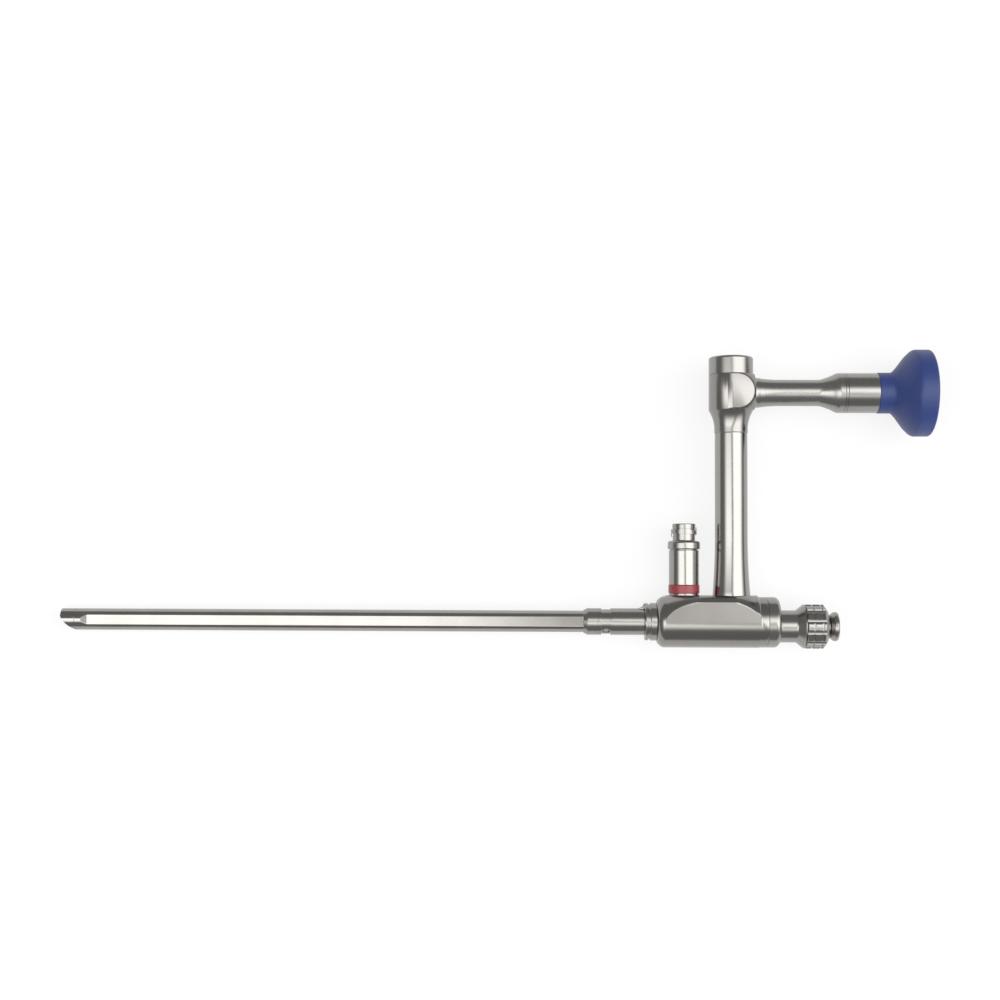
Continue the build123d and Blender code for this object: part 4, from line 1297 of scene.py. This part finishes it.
class Tree:
    """A node tree that makes geometry, with named inputs."""

    def __init__(self, name: str, inputs: dict[str, str]) -> None:
        """Start the tree.

        Args:
            name: Its name.
            inputs: Socket type of each input, by name.
        """
        self.tree = bpy.data.node_groups.new(name, "GeometryNodeTree")
        face = self.tree.interface
        face.new_socket("Geometry", in_out="INPUT", socket_type="NodeSocketGeometry")
        for title, kind in inputs.items():
            face.new_socket(title, in_out="INPUT", socket_type=kind)
        face.new_socket("Geometry", in_out="OUTPUT", socket_type="NodeSocketGeometry")
        self.start = self.tree.nodes.new("NodeGroupInput")
        self.end = self.tree.nodes.new("NodeGroupOutput")

    def given(self, title: str) -> bpy.types.NodeSocket:
        """One of the tree's inputs."""
        return self.start.outputs[title]

    def node(self, kind: str, sockets: dict[Any, Any] | None = None,
             settings: dict[str, Any] | None = None) -> bpy.types.Node:
        """Add a node.

        Args:
            kind: Its type.
            sockets: Values or links of its inputs.
            settings: Its properties, set first.

        Returns:
            The node.
        """
        node = self.tree.nodes.new(kind)
        for name, value in (settings or {}).items():
            setattr(node, name, value)
        for name, value in (sockets or {}).items():
            if isinstance(value, bpy.types.NodeSocket):
                self.tree.links.new(value, node.inputs[name])
            else:
                node.inputs[name].default_value = value
        return node

    def maths(self, operation: str, a: Any, b: Any) -> bpy.types.NodeSocket:
        """Number worked out from two others."""
        return self.node("ShaderNodeMath", {0: a, 1: b}, {"operation": operation}).outputs[0]

    def close(self, geometry: bpy.types.NodeSocket) -> None:
        """Give the result its material and end the tree.

        Args:
            geometry: The result, with its instances made real.
        """
        dressed = self.node("GeometryNodeSetMaterial", {"Geometry": geometry,
                                                        "Material": self.given("Finish")})
        self.tree.links.new(dressed.outputs[0], self.end.inputs[0])

    def attach(self, thing: bpy.types.Object, values: dict[str, Any]) -> None:
        """Add the tree to an object and set its inputs.

        Args:
            thing: The object.
            values: Input values, by name.
        """
        modifier = thing.modifiers.new(self.tree.name, "NODES")
        modifier.node_group = self.tree
        for item in self.tree.interface.items_tree:
            if item.item_type == "SOCKET" and item.in_out == "INPUT" and item.name in values:
                modifier[item.identifier] = values[item.name]


@dataclass(frozen=True)
class LightPost:
    """Post on the body that the light cable screws onto."""

    axis: float = 14.5
    foot: float = 8.9
    base: float = 5.46
    band_low: float = 10.5
    band: float = 5.70
    barrel_low: float = 13.55
    barrel: float = 5.51
    barrel_high: float = 26.3
    gap: float = 5.0
    collar_low: float = 26.6
    collar: float = 5.95
    collar_high: float = 29.7
    neck: float = 4.13
    thread_low: float = 31.7
    thread_crest: float = 4.75
    thread_pitch: float = 1.45
    thread_turns: float = 1.6
    top_low: float = 34.3
    top: float = 36.05
    top_radius: float = 4.24
    bore: float = 2.42
    band_inner: float = 4.6
    thread_foot: float = 1.3
    thread_tip: float = 0.6
    thread_sunk: float = 0.4
    thread_phase: float = 200.0

    def turned(self, name: str, corners: Sequence[Corner], closed: bool = False) -> Form:
        """Turn one piece of the post about its axis."""
        return Form.turned(name, rounded(corners), Turning.RISER, self.axis, 128, closed)

    def thread(self, stock: Stock) -> Form:
        """Coarse thread, swept along a spiral by a node tree.

        Args:
            stock: Materials.

        Returns:
            The thread, still in its own place.
        """
        tree = Tree("thread_on_the_post", {
            "Turns": "NodeSocketFloat", "Radius": "NodeSocketFloat", "Rise": "NodeSocketFloat",
            "Foot": "NodeSocketFloat", "Crest": "NodeSocketFloat", "Depth": "NodeSocketFloat",
            "Finish": "NodeSocketMaterial"})
        spiral = tree.node("GeometryNodeCurveSpiral", {
            "Resolution": 72, "Rotations": tree.given("Turns"), "Start Radius": tree.given("Radius"),
            "End Radius": tree.given("Radius"), "Height": tree.given("Rise")})
        upright = tree.node("GeometryNodeSetCurveNormal", {0: spiral.outputs[0]})
        upright.mode = "Z_UP"
        ridge = tree.node("GeometryNodeCurvePrimitiveQuadrilateral", {
            "Bottom Width": tree.given("Foot"), "Top Width": tree.given("Crest"), "Offset": 0.0,
            "Height": tree.given("Depth")}, {"mode": "TRAPEZOID"})
        lying = tree.node("GeometryNodeTransform", {0: ridge.outputs[0],
                                                    "Rotation": (0.0, 0.0, math.radians(-90))})
        body = tree.node("GeometryNodeCurveToMesh", {0: upright.outputs[0], 1: lying.outputs[0],
                                                     "Fill Caps": True})
        real = tree.node("GeometryNodeRealizeInstances", {0: body.outputs[0]})
        tree.close(real.outputs[0])
        depth = self.thread_crest - self.neck + self.thread_sunk
        thread = Form("post_thread", [(0, 0, 0)], [])
        thread.worked(lambda thing: tree.attach(thing, {
            "Turns": self.thread_turns, "Radius": self.thread_crest - depth / 2,
            "Rise": self.thread_turns * self.thread_pitch, "Foot": self.thread_foot,
            "Crest": self.thread_tip, "Depth": depth, "Finish": stock["turned_y"]}))
        thread.tidy()
        return thread

    def build(self, stock: Stock) -> list[Form]:
        """Make the post.

        Args:
            stock: Materials.

        Returns:
            The pieces.
        """
        base = self.turned("post_foot", [
            (self.foot - 0.8, 0, 0), (self.foot - 0.8, self.base, 0), (self.band_low - 0.1, self.base, 0.1),
            (self.band_low - 0.1, self.base - 0.25, 0.02), (self.band_low + 0.2, self.base - 0.25, 0.02),
            (self.band_low + 0.2, 0, 0)])
        base.done(stock["turned_y"], "steel_satin", ["post_base"])
        band = self.turned("red_band", [
            (self.band_low, self.band_inner, 0), (self.band_low, self.band, 0.22),
            (self.barrel_low, self.band, 0.22), (self.barrel_low, self.band_inner, 0)], True)
        band.done(stock["red"], "ring_red", ["colour_ring"])
        barrel = self.turned("post_sleeve", [
            (self.barrel_low, 0, 0), (self.barrel_low, self.barrel - 0.1, 0.05),
            (self.barrel_low + 0.12, self.barrel, 0.06), (self.barrel_high, self.barrel, 0.18),
            (self.barrel_high, 0, 0)])
        barrel.done(stock["tube_y"], "steel_tube", ["post_barrel"])
        nipple = self.turned("post_connector", [
            (self.barrel_high - 0.5, self.bore, 0), (self.barrel_high - 0.5, self.gap, 0),
            (self.collar_low, self.gap, 0.08), (self.collar_low, self.collar, 0.9),
            (self.collar_high, self.collar, 0.9), (self.collar_high, self.neck, 0.25),
            (self.top_low, self.neck, 0.15), (self.top_low, self.top_radius, 0.12),
            (self.top, self.top_radius, 0.3), (self.top, self.bore, 0.08)], True)
        thread = self.thread(stock)
        flip = Matrix.Rotation(math.radians(-90), 4, "X")
        spin = Matrix.Rotation(math.radians(self.thread_phase), 4, "Z")
        start = self.thread_low + 0.1
        nipple.joined(thread.moved(Matrix.Translation((self.axis, start, 0)) @ flip @ spin))
        nipple.done(stock["turned_y"], "steel_satin", ["post_nipple"], sharp=32)
        return [base, band, barrel, nipple]


@dataclass(frozen=True)
class Riser:
    """Tube between body and upper housing, flared at its foot."""

    axis: float = 31.9
    foot: float = 8.55
    foot_radius: float = 6.91
    seat: float = 9.8
    radius: float = 6.0
    flare_top: float = 31.8
    top: float = 69.5
    line_width: float = 0.16
    line_depth: float = 0.25

    def build(self, stock: Stock) -> list[Form]:
        """Make the riser.

        Args:
            stock: Materials.

        Returns:
            The pieces.
        """
        flare = eased((self.flare_top, self.radius), (self.seat, self.foot_radius))
        outline: list[Pair] = [(self.foot, 0), (self.foot, self.foot_radius)]
        outline += flare[::-1]
        start = self.flare_top + 0.2
        outline += [(start + (self.top - start) * k / 14, self.radius) for k in range(1, 14)]
        line = self.top - self.line_width
        floor = self.radius - self.line_depth
        outline += rounded([(self.top - 1, self.radius, 0), (line, self.radius, 0.04),
                            (line, floor, 0.02), (self.top, floor, 0), (self.top, 0, 0)])
        riser = Form.turned("riser", outline, Turning.RISER, self.axis, 160)
        return [riser.done(stock["tube_y"], "steel_tube", ["riser_tube"])]


@dataclass(frozen=True)
class UpperHousing:
    """Knee of the optic and its cap."""

    axis: float = 31.9
    eyepiece_y: float = 84.5
    joint: float = 69.5
    neck: float = 6.15
    neck_top: float = 71.0
    radius: float = 8.17
    block_low: float = 77.9
    block_top: float = 91.0
    trim: float = 10.27
    trim_offset: float = 1.27
    cap_top: float = 97.65
    cap_round: float = 1.3
    cap_disc: float = 6.2
    cap_dip: float = 0.05
    step_radius: float = 5.9
    trim_reach: float = 14.0

    def block(self, stock: Stock) -> Form:
        """Housing: half round on the left, square on the right, trimmed about the eyepiece.

        Args:
            stock: Materials.

        Returns:
            The piece.
        """
        outline: list[Pair] = [(self.joint, 0)]
        outline += rounded([(self.joint, self.step_radius, 0), (self.joint, self.neck - 0.12, 0.03),
                            (self.joint + 0.14, self.neck, 0.05), (self.neck_top, self.neck, 0)])
        outline += eased((self.neck_top, self.neck), (self.block_low, self.radius), 20)[1:]
        outline += [(self.block_top - 0.12, self.radius), (self.block_top, self.radius - 0.12),
                    (self.block_top, 0)]
        housing = Form.turned("knee_housing", outline, Turning.RISER, self.axis, 192)
        reach = self.radius
        square = Form.prism("square", [(self.axis, self.block_low), (self.axis + reach, self.block_low),
                                       (self.axis + reach, self.block_top),
                                       (self.axis, self.block_top)], -reach, reach)
        housing.combined(square, "UNION")
        centre = self.axis + self.trim_offset
        left = self.axis - self.trim_reach
        envelope: list[Pair] = [(left, 0), (left, self.trim)]
        envelope += [(centre + self.trim * math.sin(k * math.pi / 80),
                      self.trim * math.cos(k * math.pi / 80)) for k in range(41)]
        turned = Form.turned("envelope", envelope, Turning.SHAFT, self.eyepiece_y, 192)
        high = self.block_low - 0.005
        below = Form.turned("below", [(self.joint - 1, 0), (self.joint - 1, self.trim_reach),
                                      (high, self.trim_reach), (high, 0)],
                            Turning.RISER, self.axis, 64)
        turned.combined(below, "UNION")
        housing.combined(turned, "INTERSECT")
        housing.softened(0.14, 2, 32)
        return housing.done(stock["body"], "steel_satin", ["prism_housing"], sharp=34)

    def cap(self, stock: Stock) -> Form:
        """Round cap with a softened top edge.

        Args:
            stock: Materials.

        Returns:
            The piece.
        """
        outline = rounded([
            (self.block_top, 0, 0), (self.block_top, self.radius - 0.15, 0.02),
            (self.block_top + 0.15, self.radius, 0.05), (self.cap_top, self.radius, self.cap_round),
            (self.cap_top, self.cap_disc, 0.02), (self.cap_top - self.cap_dip, self.cap_disc - 0.1, 0.02),
            (self.cap_top - self.cap_dip, 0, 0)], 10)
        cap = Form.turned("housing_lid", outline, Turning.RISER, self.axis, 192)
        return cap.done(stock["turned_y"], "steel_satin", ["housing_cap"])

    def build(self, stock: Stock) -> list[Form]:
        """Make the housing."""
        return [self.block(stock), self.cap(stock)]


@dataclass(frozen=True)
class Eyepiece:
    """Waisted tube, joint ring and barrel."""

    axis: float = 84.5
    front: float = 40.07
    root: float = 6.05
    waist: float = 4.85
    barrel: float = 7.37
    wide: float = 71.17
    ring_low: float = 72.97
    ring_high: float = 73.97
    end: float = 85.47
    root_curve: Pair = (42.37, 5.4)
    waist_start: float = 51.07
    waist_end: float = 63.57
    flare_curve: Pair = (67.98, 6.06)
    ring_inner: float = 6.4
    sleeve_inner: float = 6.0
    spigot: float = 6.7
    spigot_length: float = 4.8

    def build(self, stock: Stock) -> list[Form]:
        """Make the eyepiece.

        Args:
            stock: Materials.

        Returns:
            The pieces.
        """
        outline: list[Pair] = [(self.front - 1.5, 0), (self.front - 1.5, self.root)]
        start, end = self.waist_start, self.waist_end
        outline += swept([(self.front, self.root), self.root_curve, (start, self.waist)], (0.7, -1),
                         (1, 0), 16)
        outline += [(start + (end - start) * k / 8, self.waist) for k in range(1, 8)]
        outline += swept([(end, self.waist), self.flare_curve, (self.wide, self.barrel)], (1, 0),
                         (1, 0.12), 14)
        outline += rounded([(self.wide + 0.3, self.barrel, 0), (self.ring_low - 0.1, self.barrel, 0.08),
                            (self.ring_low, self.barrel - 0.15, 0.02), (self.ring_low, 0, 0)])
        tube = Form.turned("ocular_tube", outline, Turning.SHAFT, self.axis, 160)
        tube.done(stock["tube_x"], "steel_tube", ["eyepiece_tube"])
        ring = Form.turned("thin_ring", rounded([
            (self.ring_low, self.ring_inner, 0), (self.ring_low, self.barrel - 0.16, 0.02),
            (self.ring_low + 0.12, self.barrel, 0.05), (self.ring_high - 0.12, self.barrel, 0.05),
            (self.ring_high, self.barrel - 0.16, 0.02), (self.ring_high, self.ring_inner, 0)]),
            Turning.SHAFT, self.axis, 160, True)
        ring.done(stock["turned_x"], "steel_satin", ["joint_ring"])
        back = self.end + self.spigot_length
        barrel = Form.turned("ocular_sleeve", rounded([
            (self.ring_high, self.sleeve_inner, 0), (self.ring_high, self.barrel - 0.14, 0.02),
            (self.ring_high + 0.12, self.barrel, 0.05), (self.end - 0.1, self.barrel, 0.08),
            (self.end, self.barrel - 0.1, 0.02), (self.end, self.spigot, 0), (back, self.spigot, 0.2),
            (back, self.sleeve_inner, 0)]), Turning.SHAFT, self.axis, 160, True)
        barrel.done(stock["turned_x"], "steel_satin", ["ocular_barrel"])
        return [tube, ring, barrel]


@dataclass(frozen=True)
class Eyecup:
    """Round blue eyecup with a hollow front."""

    axis: float = 84.5
    start: float = 85.47
    neck: float = 7.52
    cone: float = 90.27
    rim_start: float = 99.17
    rim_end: float = 103.27
    rim: float = 16.0
    front: float = 104.77
    lip: float = 13.6
    seat: float = 92.97
    hole: float = 4.6
    socket: float = 6.72
    flare: tuple[Pair, ...] = ((92.2, 9.0), (94.4, 11.72), (96.4, 14.12))
    front_round: float = 1.5

    def build(self, stock: Stock) -> list[Form]:
        """Make the eyecup.

        Args:
            stock: Materials.

        Returns:
            The pieces.
        """
        outline = rounded([(self.start, self.socket, 0), (self.start, self.neck, 0.25),
                           (self.start + 1.2, self.neck, 0)])
        outline += [(self.start + 1.2 + (self.cone - self.start - 1.4) * k / 4, self.neck)
                    for k in range(1, 5)]
        outline += swept([(self.cone, self.neck), *self.flare, (self.rim_start, self.rim)],
                         (1, 0.15), (1, 0.05), 10)
        outline += [((self.rim_start + self.rim_end) / 2, self.rim)]
        outline += rounded([(self.rim_end - 0.6, self.rim, 0), (self.front, self.rim, self.front_round),
                            (self.front, self.lip, 0.7), (self.seat, self.hole + 0.8, 0.6),
                            (self.seat, self.hole, 0.25), (self.cone, self.hole, 0.1),
                            (self.cone, self.socket, 0)], 10)
        cup = Form.turned("blue_cup", outline, Turning.SHAFT, self.axis, 192, True)
        return [cup.done(stock["blue"], "eyecup_blue", ["eyecup"])]


@dataclass(frozen=True)
class Innards:
    """CAD nodes that keep their own shape, by finish."""

    lenses: tuple[str, ...] = ("objective_lens", "body_prism", "knee_prism", "ocular_lens_front",
                               "ocular_lens_rear", "rod_lens_1", "rod_lens_2", "rod_lens_3",
                               "rod_lens_4", "rod_lens_5", "rod_lens_6", "relay_lens_1",
                               "relay_lens_2", "relay_lens_3")
    windows: tuple[str, ...] = ("distal_window", "eyepiece_window")
    fibres: tuple[str, ...] = ("fibre_bundle", "fibre_face")
    rubber: tuple[str, ...] = ("flange_seal", "cap_seal", "port_gasket")
    black: tuple[str, ...] = ("rod_spacers", "body_prism_mount", "relay_cell", "relay_spacers",
                              "prism_cradle", "field_stop", "ocular_spacer", "lens_retainer")
    polished: tuple[str, ...] = ("working_channel_tube", "optic_tube", "ring_pins", "light_ferrule")

    def dress(self, stock: Stock) -> int:
        """Give each of these nodes its material.

        Args:
            stock: Materials.

        Returns:
            How many were dressed.
        """
        count = 0
        for nodes, finish in ((self.lenses, "lens"), (self.windows, "window"), (self.fibres, "fibres"),
                              (self.rubber, "rubber"), (self.black, "black"),
                              (self.polished, "polished")):
            for node in nodes:
                thing = frame["nodes"][node]
                if not thing.material_slots:
                    thing.data.materials.append(stock[finish])
                for slot in thing.material_slots:
                    slot.material = stock[finish]
                count += 1
        return count


@dataclass(frozen=True)
class Lobe:
    """One large soft box of the studio, by its angles about the instrument in degrees.

    The far edge stands upright. The near edge is slanted, and is where it lies straight ahead.
    """

    far: Pair
    near: Pair
    high: Pair
    strength: float


@dataclass(frozen=True)
class Studio:
    """Table, light and camera."""

    table: float = -9.27
    table_size: float = 3000.0
    table_colour: Point = (0.93, 0.93, 0.93)
    table_glow: float = 0.82
    surround: float = 0.3
    low_edge: Pair = (-38.0, -10.0)
    slant: float = 0.8
    left: Lobe = Lobe((-60.0, -34.0), (-6.0, 2.5), (2.0, 12.0), 2.9)
    right: Lobe = Lobe((54.0, 82.0), (3.5, 14.5), (8.0, 33.0), 3.0)
    camera_place: Point = (-42.660, 20.666, 553.716)
    camera_turn: Point = (0.0432, 0.0191, 0.0037)
    lens: float = 54.0

    def light(self) -> None:
        """Write the world: a dark room with two large soft boxes above the table."""
        world = bpy.data.worlds.new("studio")
        bpy.context.scene.world = world
        world.use_nodes = True
        shader = Shader(world.node_tree)
        coordinates = shader.node("ShaderNodeTexCoord")
        turned = shader.node("ShaderNodeMapping", {"vector_type": "VECTOR"}, {
            "Vector": coordinates.outputs["Generated"], "Rotation": REST.inverted().to_euler()})
        parts = shader.node("ShaderNodeSeparateXYZ", None, {0: turned.outputs[0]})
        x, y, z = (shader.value(parts, number) for number in range(3))
        to_degrees = 180 / math.pi
        azimuth = x.atan2(z) * to_degrees
        elevation = y.atan2((x * x + z * z) ** 0.5) * to_degrees
        slanted = azimuth + elevation * self.slant
        left = azimuth.ramp(*self.left.far) * (1.0 - slanted.ramp(*self.left.near))
        right = slanted.ramp(*self.right.near) * (1.0 - azimuth.ramp(*self.right.far))
        left = left * (1.0 - elevation.ramp(*self.left.high)) * self.left.strength
        right = right * (1.0 - elevation.ramp(*self.right.high)) * self.right.strength
        total = (left + right) * elevation.ramp(*self.low_edge) + self.surround
        colour = shader.node("ShaderNodeCombineColor", None, {0: total, 1: total * 0.995,
                                                              2: total * 0.985})
        background = shader.node("ShaderNodeBackground", None, {"Color": colour.outputs[0],
                                                                "Strength": 1.0})
        shader.node("ShaderNodeOutputWorld", None, {"Surface": background.outputs[0]})

    def floor(self) -> bpy.types.Object:
        """Plain pale table top, which keeps the instrument's shadow.

        Returns:
            The table top.
        """
        half = self.table_size / 2000
        z = self.table / 1000
        mesh = bpy.data.meshes.new("table_top")
        mesh.from_pydata([(-half, -half, z), (half, -half, z), (half, half, z), (-half, half, z)], [],
                         [(0, 1, 2, 3)])
        thing = bpy.data.objects.new("table_top", mesh)
        bpy.context.scene.collection.objects.link(thing)
        material, shader = new_material("pale table")
        paper = shader.noise(shader.place(), (0.02, 0.02, 0.02), 2.0)
        diffuse = shader.node("ShaderNodeBsdfDiffuse", None, {
            "Color": shader.blend(paper, tuple(c * 0.995 for c in self.table_colour), self.table_colour)})
        glow = shader.node("ShaderNodeEmission", None, {"Color": (1, 1, 1, 1), "Strength": 1.0})
        path = shader.node("ShaderNodeLightPath")
        seen = (shader.value(path, "Is Camera Ray") + shader.value(path, "Is Glossy Ray")
                + shader.value(path, "Is Transmission Ray")).clamped()
        mix = shader.node("ShaderNodeMixShader", None, {0: seen * self.table_glow,
                                                        1: diffuse.outputs[0], 2: glow.outputs[0]})
        shader.output(mix)
        mesh.materials.append(material)
        return thing

    def camera(self) -> bpy.types.Object:
        """Camera at the photograph's viewing angle.

        Returns:
            The camera.
        """
        data = bpy.data.cameras.new("camera")
        data.lens = self.lens
        data.sensor_width = 36.0
        data.clip_start = 0.01
        data.clip_end = 20.0
        thing = bpy.data.objects.new("camera", data)
        bpy.context.scene.collection.objects.link(thing)
        spin = Vector(self.camera_turn)
        turn = REST @ Matrix.Rotation(spin.length, 4, spin.normalized())
        place = Matrix.Translation(TO_MODEL @ Vector(self.camera_place))
        thing.matrix_world = place @ turn
        bpy.context.scene.camera = thing
        return thing

    def build(self) -> None:
        """Set up the studio."""
        self.light()
        self.floor()
        self.camera()
        bpy.context.scene.view_settings.view_transform = "Standard"


def main() -> None:
    """Build the instrument and the studio."""
    logging.basicConfig(level=logging.INFO, format="%(name)s %(message)s")
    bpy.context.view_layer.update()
    Studio().build()
    stock = Finishes().made()
    for assembly in (Shaft(), Coupling(), Body(), Port(), LightPost(), Riser(), UpperHousing(),
                     Eyepiece(), Eyecup()):
        pieces = assembly.build(stock)
        LOG.info("%s: %d pieces", type(assembly).__name__, len(pieces))
    LOG.info("Innards: %d nodes dressed", Innards().dress(stock))


if __name__ == "__main__":
    main()
